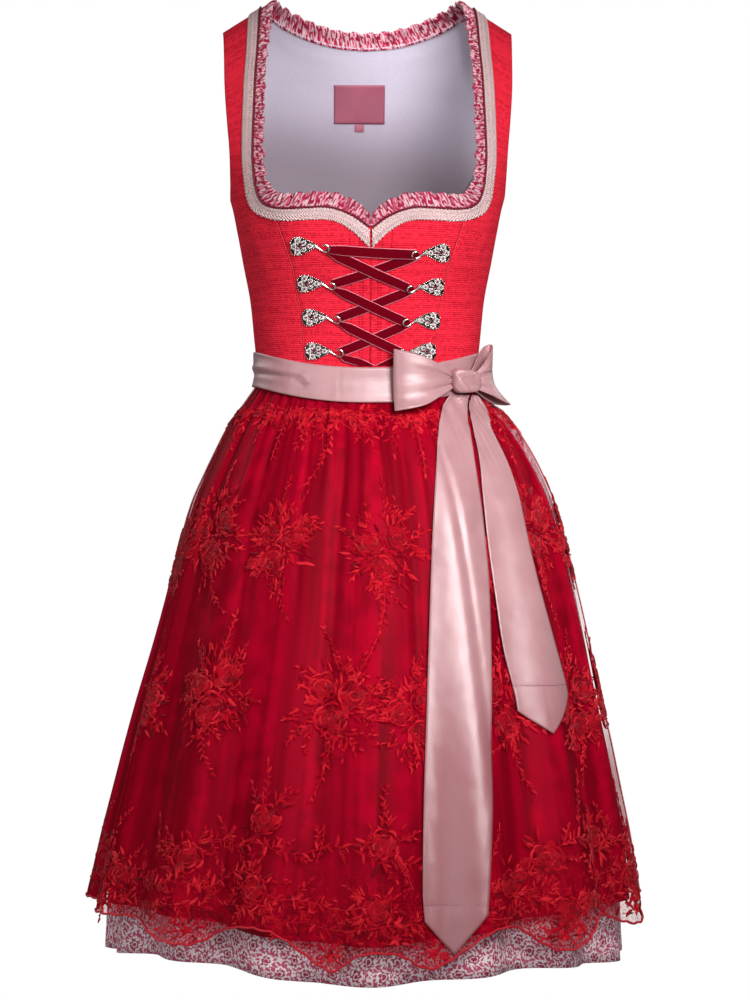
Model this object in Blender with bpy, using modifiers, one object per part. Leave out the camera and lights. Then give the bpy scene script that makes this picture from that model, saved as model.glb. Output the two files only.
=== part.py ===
"""A dirndl as it is worn, filled out with nobody in it.

Bodice with a trimmed sweetheart neck and hook lacing, a gathered skirt, and a lined net
apron tied with a satin sash and bow. The front faces -Y, +X is the wearer's left, and the
origin lies midway between the shoulder seams, at the underside of the straps. Tables and
sizes are in millimetres; a drop is a distance below the origin, positive downwards.
"""

import math
from bisect import bisect_right

import bmesh
import bpy
from mathutils import Vector

MM = 0.001

# Walls and gaps
SEAM_GAP = 0.3
CLOTH = 1.5
THIN_CLOTH = 1.2
FINE_CLOTH = 1.0
CLOTH_MIDDLE = 2.05
LAYER_GAP = 0.6
LINING_MIDDLE = 0.3
LABEL_MIDDLE = -1.7
PLACKET_MIDDLE = -0.1
WAIST_GAP = 0.6
CLOTH_FACE = CLOTH_MIDDLE + CLOTH / 2

# Bodice block: drop, half width, front depth, back depth, roundness of the section
BODY = (
    (0, 190, 70, 70, 2.4),
    (60, 185, 72, 66, 2.4),
    (110, 170, 85, 78, 2.4),
    (150, 152, 104, 88, 2.4),
    (190, 137.5, 115, 91, 2.4),
    (225, 130, 118, 90, 2.4),
    (255, 124.5, 113, 88, 2.35),
    (290, 117.8, 101, 84, 2.35),
    (330, 113.6, 92, 82.5, 2.4),
    (371, 109.8, 88, 84, 2.4),
    (400, 110, 88, 84, 2.4),
)
HALF_WIDTH, FRONT_DEPTH, BACK_DEPTH, ROUNDNESS = 1, 2, 3, 4
SHOULDER_ROUND = 90
SHOULDER_DROP = 0.0006
SHOULDER_SLOPE = 0.62
SHOULDER_MIDDLE = 117
SLOPE_INSIDE = 96
SLOPE_FULL = 60
SLOPE_END = 190
CUP_HEIGHT = 11
CUP_X = 76
CUP_DROP = 215
CUP_SPREAD_X = 42
CUP_SPREAD_DROP = 52
CUP_SIDE = 3

# Front neckline from the V to the shoulder: length along it, half width, drop
NECK_FRONT = (
    (0, 0, 225),
    (4, 3, 222.8),
    (16, 13, 215.8),
    (33, 29, 208.5),
    (49, 44, 205),
    (69, 64, 205.5),
    (88, 83, 205.5),
    (101, 96, 203),
    (111, 104, 197.5),
    (124, 109, 187),
    (140, 112, 172),
    (162, 113.8, 150),
    (207, 113.4, 110),
    (252, 111.8, 70),
    (290, 109.2, 40),
    (326, 107.5, 12),
    (346, 106.5, 3),
    (363, 106, SHOULDER_DROP),
)
# Outer edge of the braid, at the same lengths along the neckline
BRAID_EDGE = (
    (0, 0, 246),
    (4, 5, 241),
    (16, 17, 230),
    (33, 32, 221),
    (49, 45, 218),
    (69, 64, 218),
    (88, 85, 218),
    (101, 101, 214),
    (111, 113, 206),
    (124, 119.5, 193),
    (140, 122.5, 175),
    (162, 125, 151),
    (207, 125.5, 110),
    (252, 124.2, 70),
    (290, 121.8, 41),
    (326, 120, 13),
    (346, 119, 3.6),
    (363, 118, SHOULDER_DROP),
)
# Free edge of the neck ruffle, at the same lengths along the neckline
RUFFLE_EDGE = (
    (0, 1.2, 214.5),
    (4, 2.6, 211.5),
    (16, 10.5, 203.5),
    (33, 26, 195.5),
    (49, 43, 191.5),
    (69, 63.5, 192),
    (88, 80, 192.5),
    (101, 88.5, 191.5),
    (111, 94, 188),
    (124, 99, 181),
    (140, 103, 169),
    (162, 105, 149),
    (207, 104.5, 110),
    (252, 103, 70),
    (290, 99.5, 40),
    (326, 96.5, 12),
    (346, 94.5, 3),
    (363, 93.5, SHOULDER_DROP),
)
NECK_CORNER = 101
NECK_LENGTH = 363
# Back neckline from the shoulder to the centre back, then its ruffle's free edge
NECK_BACK = (
    (0, 106, SHOULDER_DROP),
    (16, 103, 4),
    (30, 97, 9.5),
    (48, 84, 17.5),
    (76, 59, 27.5),
    (107, 30, 34.6),
    (137, 0, 37),
)
RUFFLE_BACK_EDGE = (
    (0, 93.5, SHOULDER_DROP),
    (16, 91.5, 0.7),
    (30, 87, 2.6),
    (48, 76, 7.5),
    (76, 54, 15.5),
    (107, 27.5, 22),
    (137, 0, 24.3),
)
NECK_BACK_LENGTH = 137

# Armhole edge from the underarm to the shoulder: share of its length, half width, drop
ARMHOLE = (
    (0, 137.5, 190),
    (0.06, 138.3, 186),
    (0.14, 138.2, 174),
    (0.32, 139.2, 140),
    (0.5, 142.3, 100),
    (0.67, 144.8, 60),
    (0.8, 145.4, 32),
    (0.9, 146, 12),
    (0.96, 146.6, 3),
    (1, 147, SHOULDER_DROP),
)
STRAP_INNER = 106
STRAP_OUTER = 147
UNDERARM_DROP = 190

# Front princess seam: drop, half width
PRINCESS = ((203, 96), (225, 89.5), (262, 77), (280, 73.5), (312, 67.5), (350, 64.5), (385, 63))
BACK_SEAM_WAIST = 55
BACK_SEAM_BEND = 2.2
BACK_SEAM_ARMHOLE = 0.42

# Where a panel's outer edge turns from seam to armhole, as a share of its rows
FRONT_SPLIT = 0.45
BACK_SPLIT = 0.55
BACK_NECK_SHARE = 0.72
PANEL_WIDTH = 65
PANEL_HEIGHT = 140

# Waist seam
WAIST_DROP = 362
WAIST_DIP = 19
HEM_DROP = 965

# Skirt block: drop at the side, half width, front depth, back depth, roundness, shift to +X
SKIRT = (
    (362, 110, 88, 84, 2.4, 0),
    (378, 111, 89, 85, 2.35, 1),
    (393, 121.5, 96, 93, 2.2, 2),
    (408, 134.5, 105, 103, 2.1, 4),
    (424, 146.5, 114, 112, 2.03, 5.5),
    (450, 161, 125, 124, 2, 7.5),
    (476, 173, 133.8, 135.7, 2, 8),
    (496, 181, 140, 143, 2, 8),
    (525, 189, 147, 152, 2, 8),
    (554, 196, 153, 160, 2, 8),
    (600, 206, 163, 172, 2, 8),
    (646, 216, 172, 183, 2, 7),
    (702, 228, 183, 196, 2, 5),
    (749, 237, 192, 205, 2, 4),
    (792, 244, 199, 211, 2, 3),
    (839, 251, 206, 218, 2, 2),
    (878, 254, 209, 222, 2, 1),
    (908, 256, 211, 224, 2, 0),
    (965, 258, 213, 227, 2, 0),
)
SHIFT = 5
COLUMN_ANGLE = 360 / 96
GATHERS = 48
GATHER_HEIGHT = 1.1
GATHER_FADE = 0.16
FOLDS = 15
FOLD_HEIGHT = 10.5
FOLD_START = 0.02
FOLD_SPREAD = 1.3
FOLD_GROWTH = 1.12
FOLD_EARLY = 0.25
FOLD_EARLY_END = 0.3
FOLD_UNEVEN = 0.22
FOLD_UNEVEN_PHASE = 0.6
FOLD_WANDER = 0.3
FOLD_WANDER_PHASE = 0.9
SKIRT_PARTING = 0.25
SKIRT_ROWS = (0, 0.026, 0.055, 0.12, 0.26, 0.48, 0.74, 1)
# How much higher the hem hangs than its lowest point: degrees round the skirt, height
HEM_LIFT = (
    (-180, 0),
    (-90, 8),
    (-62, 16),
    (-42, 16),
    (-31, 13),
    (-20, 5),
    (-8, 0),
    (10, 2),
    (25, 7),
    (40, 9),
    (55, 6),
    (75, 2),
    (180, 0),
)
# Panels: name, first and last column round the skirt
SKIRT_PANELS = (
    ("skirt_front", -13, 13),
    ("skirt_side_left", 13, 35),
    ("skirt_back", 35, 61),
    ("skirt_side_right", 61, 83),
)

# Apron, from the seam down: share of the skirt's length, lining middle, net middle
APRON_OFF = (
    (0, 2.4, 3.9),
    (0.1, 2.6, 4.2),
    (0.33, 3.4, 5.8),
    (0.56, 5, 9),
    (0.78, 9.5, 16),
    (0.9, 12.5, 24),
    (1, 16, 30),
)
LINING_OFF, NET_OFF = 1, 2
APRON_TOP = 3
# Lower edge of the net, corded in scallops: angle round the skirt, drop
NET_HEM = (
    (-97.5, 903),
    (-84, 906),
    (-70, 909),
    (-57, 911),
    (-41, 929),
    (-31, 911),
    (-21, 911),
    (-9, 948),
    (-3.3, 932),
    (4, 931),
    (12, 947),
    (23.3, 912),
    (31, 912),
    (42, 936),
    (55, 908),
    (70, 922),
    (84, 904),
    (97.5, 903),
)
APRON_LINING_HEM = ((-90, 898), (-40, 906), (-12, 923), (10, 923), (36, 905), (75, 900))
NET_COLUMNS = (-26, 26)
APRON_LINING_COLUMNS = (-24, 20)

# Sash: distance below the waist seam, middle of the wall
SASH = ((-17.5, 4.6), (-7, 5.4), (5, 6.8), (18, 7.8))
SASH_WALL = 1.4
SASH_FRONT = (-96.67, 93.33)
SASH_FRONT_STEPS = 32
SASH_BACK_STEPS = 26
SASH_PARTING = 0.0008

# Bow, in a flat frame laid round the waist at its knot
BOW_ANGLE = 47.5
BOW_DROP = 376
BOW_TURN = 98
KNOT_HALF = (15, 12.5, 7.6)
KNOT_MIDDLE = 18.4
KNOT_SQUARENESS = 0.55
KNOT_ROUNDNESS = 4
# Path of a loop: share of the way round, share of its reach, middle of the wall
LOOP_PATH = (
    (0, 0, 15.6),
    (0.15, 0.25, 20.5),
    (0.3, 0.55, 23.5),
    (0.42, 0.86, 22.5),
    (0.5, 1, 17),
    (0.58, 0.9, 12.2),
    (0.7, 0.6, 10.1),
    (0.85, 0.3, 9.9),
    (1, 0, 9.9),
)
# Height of a loop: share of its reach, half height
LOOP_HEIGHT = ((0, 8), (0.3, 17), (0.6, 26), (1, 32))
LOOP_ROOT = 15.5
LOOP_ROWS = (0, 0.1, 0.2, 0.3, 0.38, 0.45, 0.5, 0.55, 0.62, 0.7, 0.85, 1)
LOOP_REACH = {"right": -67, "left": 44}
LOOP_RISE = {"right": 0, "left": 8}

# Ends of the sash below the knot: drop, inner edge, outer edge
TAIL_LONG = (
    (390.5, 77, 96.5),
    (404, 71, 95.5),
    (431, 67, 100),
    (491, 62, 109),
    (538, 59.5, 114),
    (584, 57.5, 117),
    (700, 53, 115),
    (788, 49.5, 112),
    (875, 48, 107),
    (901, 50, 105.5),
    (935, 51, 105),
)
TAIL_LONG_FOOT = ((0, 902), (0.5, 933), (1, 895))
TAIL_SHORT = (
    (390.5, 98.5, 104),
    (404, 97.5, 116),
    (427, 103, 123),
    (458, 109, 136),
    (491, 112, 146),
    (538, 116.5, 155),
    (586, 122.5, 166),
    (643, 131, 182),
    (690, 143, 197),
    (727, 148, 203),
)
TAIL_SHORT_FOOT = ((0, 704), (0.5, 727), (1, 689))
TAIL_COLUMNS = 4
TAIL_ROWS = (0, 0.02, 0.05, 0.1, 0.18, 0.28, 0.4, 0.54, 0.68, 0.84, 1)
TAIL_LIFT = ((390, 7.4), (404, 4.2), (425, 2.4), (460, 2.1), (700, 2.9), (940, 3.6))

# Hook eyes: row, right eye half width and drop, left eye half width and drop
HOOKS = (
    (1, 44.5, 243, 43.8, 249),
    (2, 37.6, 279, 39, 282),
    (3, 32.5, 313, 35.3, 316),
    (4, 29.6, 347, 31.6, 347),
)
# Hook seen from the outer end to the eye: share, distance outwards, half width, middle
HOOK_SHAPE = (
    (0, 33, 3.2, 4.7),
    (0.08, 30, 6.2, 4.7),
    (0.22, 25, 8, 4.7),
    (0.42, 19, 6.8, 4.7),
    (0.6, 12, 3.6, 4.9),
    (0.76, 5.6, 2.3, 7.7),
    (0.84, 3, 2.3, 8.5),
    (1, -5, 2.3, 8.5),
)
HOOK_WALL = 1.2
LACE_HALF = 4.4
LACE_REAR, LACE_FRONT, LACE_BAR = 4.3, 5.6, 6.9
LACE_SEGMENTS = 8
LACE_TUCK = 1.5
# Stretch of ribbon from the lowest hooks down behind the sash
LAST_FEET = {-1: -3.6, 1: 14}
LAST_NARROW, LAST_WIDE = 1.9, 9
LAST_SLANT = 4
LAST_ANGLE = 0.2
SASH_CLEARANCE = 1.2

# Ruffle waves: the two fronts, then the back
RUFFLE_FRONT_WAVES = 20
RUFFLE_BACK_WAVES = 16
RUFFLE_STEPS = 4
RUFFLE_HEIGHT = 2.6
RUFFLE_LEAN = 1.5
RUFFLE_ROOT = 0.08
RUFFLE_BACK_ROOT = 0.12
RUFFLE_SWELL = 0.18
RUFFLE_SWELL_PACE = 0.9
RUFFLE_PARTING = 0.0006
RUFFLE_BACK_PARTING = 0.0012

PIPE_RADIUS = 1.1
PIPE_MIDDLE = CLOTH_FACE + LAYER_GAP + PIPE_RADIUS
PIPE_SHARE = 0.1
PIPE_POINTS = 26
PIPE_PARTING = 0.0008
PIPE_START = 2.4
PIPE_BACK_POINTS = 9
PIPE_BACK_PARTING = 0.004
# Back piping: along the shoulder's first stretch it moves from beside the edge to below it
PIPE_BACK_TURN = 30
PIPE_BACK_BELOW = 1.4
PIPE_BACK_OUTSIDE = 1.2
BRAID_MIDDLE = CLOTH_FACE + LAYER_GAP + FINE_CLOTH / 2
BRAID_INNER = 0.24
BRAID_POINTS = 34
BRAID_PARTING = 0.0004
AXIS_GAP = 0.001

LABEL_BOX = (-32.5, 21, 73, 109)
TAB_BOX = (-10.5, -0.5, 109.6, 116)
PLACKET_HALF = 8
PLACKET_FOOT = 1
PLACKET_HEAD = 4

RED_LINEN = (0.82, 0.012, 0.035, 0.75, 0.0)
LINING_COTTON = (0.61, 0.52, 0.67, 0.8, 0.0)
LINING = (LINING_COTTON, LINING_MIDDLE, FINE_CLOTH)
LABEL_SATIN = (0.47, 0.09, 0.15, 0.45, 0.0)
BRAID_CREAM = (0.74, 0.54, 0.48, 0.9, 0.0)
PIPING_RED = (0.26, 0.004, 0.03, 0.5, 0.0)
RUFFLE_PRINT = (0.69, 0.2, 0.28, 0.85, 0.0)
HOOK_SILVER = (0.62, 0.6, 0.6, 0.3, 1.0)
LACE_VELVET = (0.17, 0.0, 0.008, 0.8, 0.0)
SASH_SATIN = (0.8, 0.5, 0.57, 0.35, 0.0)
SKIRT_COTTON = (0.55, 0.48, 0.54, 0.85, 0.0)
APRON_SATIN = (0.43, 0.0, 0.02, 0.35, 0.0)
APRON_NET = (0.56, 0.005, 0.03, 0.6, 0.0)


def clear_scene():
    for item in list(bpy.data.objects):
        bpy.data.objects.remove(item, do_unlink=True)


def collection_named(name):
    group = bpy.data.collections.new(name)
    bpy.context.scene.collection.children.link(group)
    return group


def dress(item, finish):
    """Give an object its own plain material."""
    red, green, blue, roughness, metallic = finish
    material = bpy.data.materials.new(item.name)
    material.use_nodes = True
    shader = material.node_tree.nodes["Principled BSDF"]
    shader.inputs["Base Color"].default_value = (red, green, blue, 1.0)
    shader.inputs["Roughness"].default_value = roughness
    shader.inputs["Metallic"].default_value = metallic
    item.data.materials.append(material)


def along(rows, place, column):
    """Value of a table's column at a place, on a smooth curve through its rows."""
    places = [row[0] for row in rows]
    if place <= places[0]:
        return rows[0][column]
    if place >= places[-1]:
        return rows[-1][column]
    low = bisect_right(places, place) - 1
    high = low + 1
    span = places[high] - places[low]
    part = (place - places[low]) / span

    def slope(index):
        before = max(index - 1, 0)
        after = min(index + 1, len(rows) - 1)
        return (rows[after][column] - rows[before][column]) / (places[after] - places[before])

    start = rows[low][column]
    stop = rows[high][column]
    square = part * part
    cube = square * part
    return (
        (2 * cube - 3 * square + 1) * start
        + (cube - 2 * square + part) * span * slope(low)
        + (3 * square - 2 * cube) * stop
        + (cube - square) * span * slope(high)
    )


def straight(rows, place, column):
    """Value of a table's column at a place, on straight lines between its rows."""
    for low, high in zip(rows, rows[1:]):
        if place <= high[0]:
            part = (place - low[0]) / (high[0] - low[0])
            return low[column] + (high[column] - low[column]) * max(part, 0.0)
    return rows[-1][column]


def mix(start, stop, part):
    return start + (stop - start) * part


def smooth(part):
    part = min(max(part, 0.0), 1.0)
    return part * part * (3 - 2 * part)


def steps(count):
    return [index / count for index in range(count + 1)]


def power(value, exponent):
    return math.copysign(abs(value) ** exponent, value)


def ring(angle, half_width, front, back, roundness):
    """Point of a flattened ring, with angle 0 at the centre front and +90 at the left."""
    exponent = 2 / roundness
    depth = front if math.cos(angle) >= 0 else back
    x = half_width * power(math.sin(angle), exponent)
    y = -depth * power(math.cos(angle), exponent)
    return x, y


def ring_angle(x, half_width, roundness):
    """Angle on the front of a ring at which it reaches x."""
    share = min(abs(x) / half_width, 1.0)
    return math.copysign(math.asin(share ** (roundness / 2)), x)


def body_point(angle, drop):
    """Point of the bodice block, before any wall."""
    arch = 1 - min(drop / SHOULDER_ROUND, 1.0)
    cap = math.sqrt(max(1 - arch * arch, 0.0))
    front = along(BODY, drop, FRONT_DEPTH) * cap
    back = along(BODY, drop, BACK_DEPTH) * cap
    x, y = ring(angle, along(BODY, drop, HALF_WIDTH), front, back, along(BODY, drop, ROUNDNESS))
    if math.cos(angle) > 0:
        across = (abs(x) - CUP_X) / CUP_SPREAD_X
        down = (drop - CUP_DROP) / CUP_SPREAD_DROP
        y -= CUP_HEIGHT * math.exp(-across * across - down * down) * smooth(CUP_SIDE * math.cos(angle))
    fade = 1 - smooth((drop - SLOPE_FULL) / (SLOPE_END - SLOPE_FULL))
    rise = SHOULDER_SLOPE * (SHOULDER_MIDDLE - max(abs(x), SLOPE_INSIDE)) * fade
    return Vector((x, y, rise - drop))


def surface_normal(surface, angle, drop, angle_step=0.004, drop_step=0.4):
    """Outward normal of a block at a point."""
    high = max(drop - drop_step, 0.0)
    across = surface(angle + angle_step, drop) - surface(angle - angle_step, drop)
    down = surface(angle, drop + drop_step) - surface(angle, high)
    return down.cross(across).normalized()


def on_body(angle, drop, off):
    """Point at a distance outwards from the bodice block."""
    return body_point(angle, drop) + surface_normal(body_point, angle, drop) * off


def body_angle(x, drop, back=False):
    """Angle at which the bodice block reaches x at a drop, on its front or its back."""
    angle = ring_angle(x, along(BODY, drop, HALF_WIDTH), along(BODY, drop, ROUNDNESS))
    return math.copysign(math.pi, x) - angle if back else angle


def waist_drop(angle):
    return WAIST_DROP + WAIST_DIP * max(math.cos(angle), 0.0) ** 2


def skirt_base(angle, share):
    """Point of the skirt block at a share of the way from waist seam to hem."""
    drop = mix(WAIST_DROP, HEM_DROP, share)
    values = [along(SKIRT, drop, column) for column in range(1, 6)]
    x, y = ring(angle, values[0], values[1], values[2], values[3])
    top = waist_drop(angle)
    return Vector((x + values[4], y, -mix(top, HEM_DROP, share)))


def skirt_normal(angle, share):
    """Level outward direction of the skirt block."""
    step = 0.01
    before = skirt_base(angle - step, share)
    after = skirt_base(angle + step, share)
    along_ring = Vector((after.x - before.x, after.y - before.y, 0.0))
    return Vector((along_ring.y, -along_ring.x, 0.0)).normalized()


def fold(angle, share):
    """Height of the gathers at the waist and of the folds that fall from them."""
    gathers = GATHER_HEIGHT * math.cos(GATHERS * angle) * (1 - smooth(share / GATHER_FADE))
    wander = FOLD_WANDER * math.sin(2 * angle + FOLD_WANDER_PHASE) * abs(math.sin(angle))
    uneven = 1 + FOLD_UNEVEN * math.sin(3 * angle + FOLD_UNEVEN_PHASE)
    grow = FOLD_GROWTH * smooth((share - FOLD_START) / FOLD_SPREAD)
    grow += FOLD_EARLY * smooth(share / FOLD_EARLY_END) * (1 - share)
    return gathers + FOLD_HEIGHT * grow * uneven * math.cos(FOLDS * angle + wander)


def on_skirt(angle, share, off):
    """Point at a distance outwards from the folded skirt."""
    return skirt_base(angle, share) + skirt_normal(angle, share) * (off + fold(angle, share))


def net_angle(x, share):
    """Angle at which the apron net reaches x at a share of the skirt's length."""
    drop = mix(WAIST_DROP, HEM_DROP, share)
    reach = along(SKIRT, drop, HALF_WIDTH) + along(APRON_OFF, share, NET_OFF)
    return ring_angle(x - along(SKIRT, drop, SHIFT), reach, along(SKIRT, drop, ROUNDNESS))


def on_waist(angle, below, off):
    """Point outwards from the bodice above the waist seam, or from the skirt below it."""
    top = waist_drop(angle)
    if below <= 0:
        return on_body(angle, top + below, off)
    share = below / (HEM_DROP - top)
    return skirt_base(angle, share) + skirt_normal(angle, share) * off


def cloth(group, name, point, columns, rows, wall, finish):
    """A wall of cloth whose middle passes through point(column, row)."""
    shape = bmesh.new()
    bmesh.ops.create_grid(shape, x_segments=len(columns) - 1, y_segments=len(rows) - 1, size=0.5)
    shape.verts.ensure_lookup_table()
    for index, vertex in enumerate(shape.verts):
        row, column = divmod(index, len(columns))
        vertex.co = point(columns[column], rows[row]) * MM
    mesh = bpy.data.meshes.new(name)
    shape.to_mesh(mesh)
    shape.free()
    mesh.shade_smooth()
    item = bpy.data.objects.new(name, mesh)
    group.objects.link(item)
    thicken = item.modifiers.new("Wall", "SOLIDIFY")
    thicken.thickness = wall * MM
    thicken.offset = 0.0
    dress(item, finish)
    return item


def patch(bottom, top, inner, outer):
    """Blend four edge curves, each giving an angle and a drop, into one panel."""

    def at(u, v):
        low, high = bottom(u), top(u)
        left, right = inner(v), outer(v)
        corners = (bottom(0), bottom(1), top(0), top(1))
        weights = ((1 - u) * (1 - v), u * (1 - v), (1 - u) * v, u * v)
        return [
            (1 - v) * low[k] + v * high[k] + (1 - u) * left[k] + u * right[k]
            - sum(weight * corner[k] for weight, corner in zip(weights, corners))
            for k in (0, 1)
        ]

    return at


def inset(places, margin):
    """Pull the first and last places in, to leave half a seam gap at each end."""
    return [margin] + list(places[1:-1]) + [1 - margin]


def neck_at(length, side):
    x = along(NECK_FRONT, length, 1)
    drop = along(NECK_FRONT, length, 2)
    return body_angle(side * x, drop), drop


def armhole_at(share, side, back=False):
    drop = along(ARMHOLE, share, 2)
    reach = along(BODY, drop, HALF_WIDTH)
    x = min(along(ARMHOLE, share, 1), reach)
    return body_angle(side * x, drop, back), drop


def shoulder_at(share, side, back=False):
    x = mix(STRAP_INNER, STRAP_OUTER, share)
    return body_angle(side * x, SHOULDER_DROP, back), SHOULDER_DROP


def princess_at(share, side):
    waist = waist_drop(body_angle(PRINCESS[-1][1], WAIST_DROP + WAIST_DIP))
    drop = mix(waist, PRINCESS[0][0], share)
    return body_angle(side * along(PRINCESS, drop, 1), drop), drop


def back_seam_at(share, side):
    armhole_drop = along(ARMHOLE, BACK_SEAM_ARMHOLE, 2)
    armhole_x = along(ARMHOLE, BACK_SEAM_ARMHOLE, 1)
    x = mix(BACK_SEAM_WAIST, armhole_x, share ** BACK_SEAM_BEND)
    drop = mix(WAIST_DROP, armhole_drop, share)
    return body_angle(side * x, drop, True), drop


def bodice_panel(group, name, panel, columns, rows, finish=RED_LINEN, middle=CLOTH_MIDDLE, wall=CLOTH):
    margin_u = SEAM_GAP / 2 / PANEL_WIDTH
    margin_v = SEAM_GAP / 2 / PANEL_HEIGHT

    def point(u, v):
        angle, drop = panel(u, v)
        return on_body(angle, max(drop, SHOULDER_DROP), middle)

    rows = [margin_v] + list(rows[1:])
    cloth(group, name, point, inset(columns, margin_u), rows, wall, finish)


def front_centre(side):
    """Panel from the centre front to the princess seam, under the sweetheart curve."""
    seam_foot = princess_at(0, side)[0]

    def bottom(u):
        angle = mix(0.0, seam_foot, u)
        return angle, waist_drop(angle)

    def top(u):
        return neck_at(NECK_CORNER * u, side)

    def centre(v):
        return 0.0, mix(waist_drop(0.0), NECK_FRONT[0][2], v)

    def seam(v):
        return princess_at(v, side)

    return patch(bottom, top, centre, seam)


def front_side(side):
    """Panel from the princess seam to the side seam, with the front of the strap."""
    seam_foot = princess_at(0, side)[0]
    side_angle = side * math.pi / 2

    def bottom(u):
        angle = mix(seam_foot, side_angle, u)
        return angle, waist_drop(angle)

    def top(u):
        return shoulder_at(u, side)

    def inner(v):
        if v <= FRONT_SPLIT:
            return princess_at(v / FRONT_SPLIT, side)
        part = (v - FRONT_SPLIT) / (1 - FRONT_SPLIT)
        return neck_at(mix(NECK_CORNER, NECK_LENGTH, part), side)

    def outer(v):
        if v <= FRONT_SPLIT:
            return side_angle, mix(WAIST_DROP, UNDERARM_DROP, v / FRONT_SPLIT)
        return armhole_at((v - FRONT_SPLIT) / (1 - FRONT_SPLIT), side)

    return patch(bottom, top, inner, outer)


def back_side(side):
    """Panel of the back between the side seam and the curved seam into the armhole."""
    seam_foot = back_seam_at(0, side)[0]
    side_angle = side * math.pi / 2

    def bottom(u):
        return mix(seam_foot, side_angle, u), WAIST_DROP

    def top(u):
        return armhole_at(BACK_SEAM_ARMHOLE * (1 - u), side, True)

    def inner(v):
        return back_seam_at(v, side)

    def outer(v):
        return side_angle, mix(WAIST_DROP, UNDERARM_DROP, v)

    return patch(bottom, top, inner, outer)


def unwrapped(angle):
    """Angle counted from the centre back, so that it runs on from side to side."""
    return angle - math.copysign(math.pi, angle)


def back_centre_edge(v, side):
    if v <= BACK_SPLIT:
        return back_seam_at(v / BACK_SPLIT, side)
    share = mix(BACK_SEAM_ARMHOLE, 1, (v - BACK_SPLIT) / (1 - BACK_SPLIT))
    return armhole_at(share, side, True)


def back_centre():
    """Panel of the back between the curved seams, up to the neck and the shoulders."""

    def turned(place):
        return unwrapped(place[0]), place[1]

    def bottom(u):
        seam_foot = turned(back_centre_edge(0, -1))[0]
        return mix(seam_foot, -seam_foot, u), WAIST_DROP

    def top(u):
        side = 1 if u >= 0.5 else -1
        share = abs(2 * u - 1)
        if share > BACK_NECK_SHARE:
            return turned(shoulder_at((share - BACK_NECK_SHARE) / (1 - BACK_NECK_SHARE), side, True))
        length = NECK_BACK_LENGTH * (1 - share / BACK_NECK_SHARE)
        x = side * max(along(NECK_BACK, length, 1), AXIS_GAP)
        drop = along(NECK_BACK, length, 2)
        return turned((body_angle(x, drop, True), drop))

    def right(v):
        return turned(back_centre_edge(v, -1))

    def left(v):
        return turned(back_centre_edge(v, 1))

    flat = patch(bottom, top, right, left)

    def at(u, v):
        angle, drop = flat(u, v)
        return angle + math.pi, drop

    return at


def mirrored(shares):
    """Places from 0 to 1, set out from the middle by shares that run from 1 down to 0."""
    return [0.5 - share / 2 for share in shares] + [0.5 + share / 2 for share in reversed(shares[:-1])]


def build_bodice(group):
    centre_columns = (0, 0.06, 0.16, 0.25, 0.33, 0.49, 0.68, 0.87, 1)
    seam_rows = (0, 0.2, 0.4, 0.6, 0.8, 0.9, 1)
    strap_rows = [FRONT_SPLIT * row for row in seam_rows]
    strap_rows += [0.47, 0.49, 0.51, 0.535, 0.58, 0.65, 0.72, 0.79, 0.85, 0.9, 0.94, 0.97, 1]
    back_columns = mirrored((1, 0.86, 0.72, 0.64, 0.52, 0.36, 0.18, 0))
    back_rows = [BACK_SPLIT * row for row in seam_rows]
    back_rows += [0.66, 0.76, 0.84, 0.91, 0.96, 1]
    for word, side in (("right", -1), ("left", 1)):
        bodice_panel(group, f"front_centre_{word}", front_centre(side), centre_columns, seam_rows)
        bodice_panel(group, f"front_side_{word}", front_side(side), steps(5), strap_rows)
        bodice_panel(group, f"back_side_{word}", back_side(side), steps(4), seam_rows)
        bodice_panel(group, f"lining_side_{word}", back_side(side), steps(4), seam_rows, *LINING)
    bodice_panel(group, "back_centre", back_centre(), back_columns, back_rows)
    bodice_panel(group, "lining_centre", back_centre(), back_columns, back_rows, *LINING)


def build_inside(group):
    """Label and tab on the back lining, and the strip behind the centre front."""
    for name, box, finish in (("label", LABEL_BOX, LABEL_SATIN), ("label_tab", TAB_BOX, LINING_COTTON)):
        low_x, high_x, high, low = box

        def point(u, v, edges=(low_x, high_x, high, low)):
            x = mix(edges[0], edges[1], u)
            drop = mix(edges[3], edges[2], v)
            return on_body(body_angle(x, drop, True), drop, LABEL_MIDDLE)

        cloth(group, name, point, steps(3), steps(2), FINE_CLOTH, finish)

    def placket(u, v):
        drop = mix(waist_drop(0.0) - PLACKET_FOOT, NECK_FRONT[0][2] + PLACKET_HEAD, v)
        x = mix(-PLACKET_HALF, PLACKET_HALF, u)
        return on_body(body_angle(x, drop), drop, PLACKET_MIDDLE)

    cloth(group, "placket", placket, steps(2), steps(6), FINE_CLOTH, RED_LINEN)


def trim_point(inner_rows, outer_rows, length, share, side, off, back=False):
    """Point on a band between two edges that follow the neckline."""
    x = mix(along(inner_rows, length, 1), along(outer_rows, length, 1), share)
    drop = mix(along(inner_rows, length, 2), along(outer_rows, length, 2), share)
    drop = max(drop, SHOULDER_DROP)
    x = max(x, SEAM_GAP / 2) * side
    return on_body(body_angle(x, drop, back), drop, off)


def tube(group, name, points, radius, finish):
    """A round cord through points, closed at both ends."""
    curve = bpy.data.curves.new(name, "CURVE")
    curve.dimensions = "3D"
    curve.bevel_depth = radius * MM
    curve.bevel_resolution = 1
    curve.use_fill_caps = True
    spline = curve.splines.new("POLY")
    spline.points.add(len(points) - 1)
    for target, point in zip(spline.points, points):
        target.co = (point.x * MM, point.y * MM, point.z * MM, 1.0)
    item = bpy.data.objects.new(name, curve)
    group.objects.link(item)
    dress(item, finish)
    return item


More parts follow.
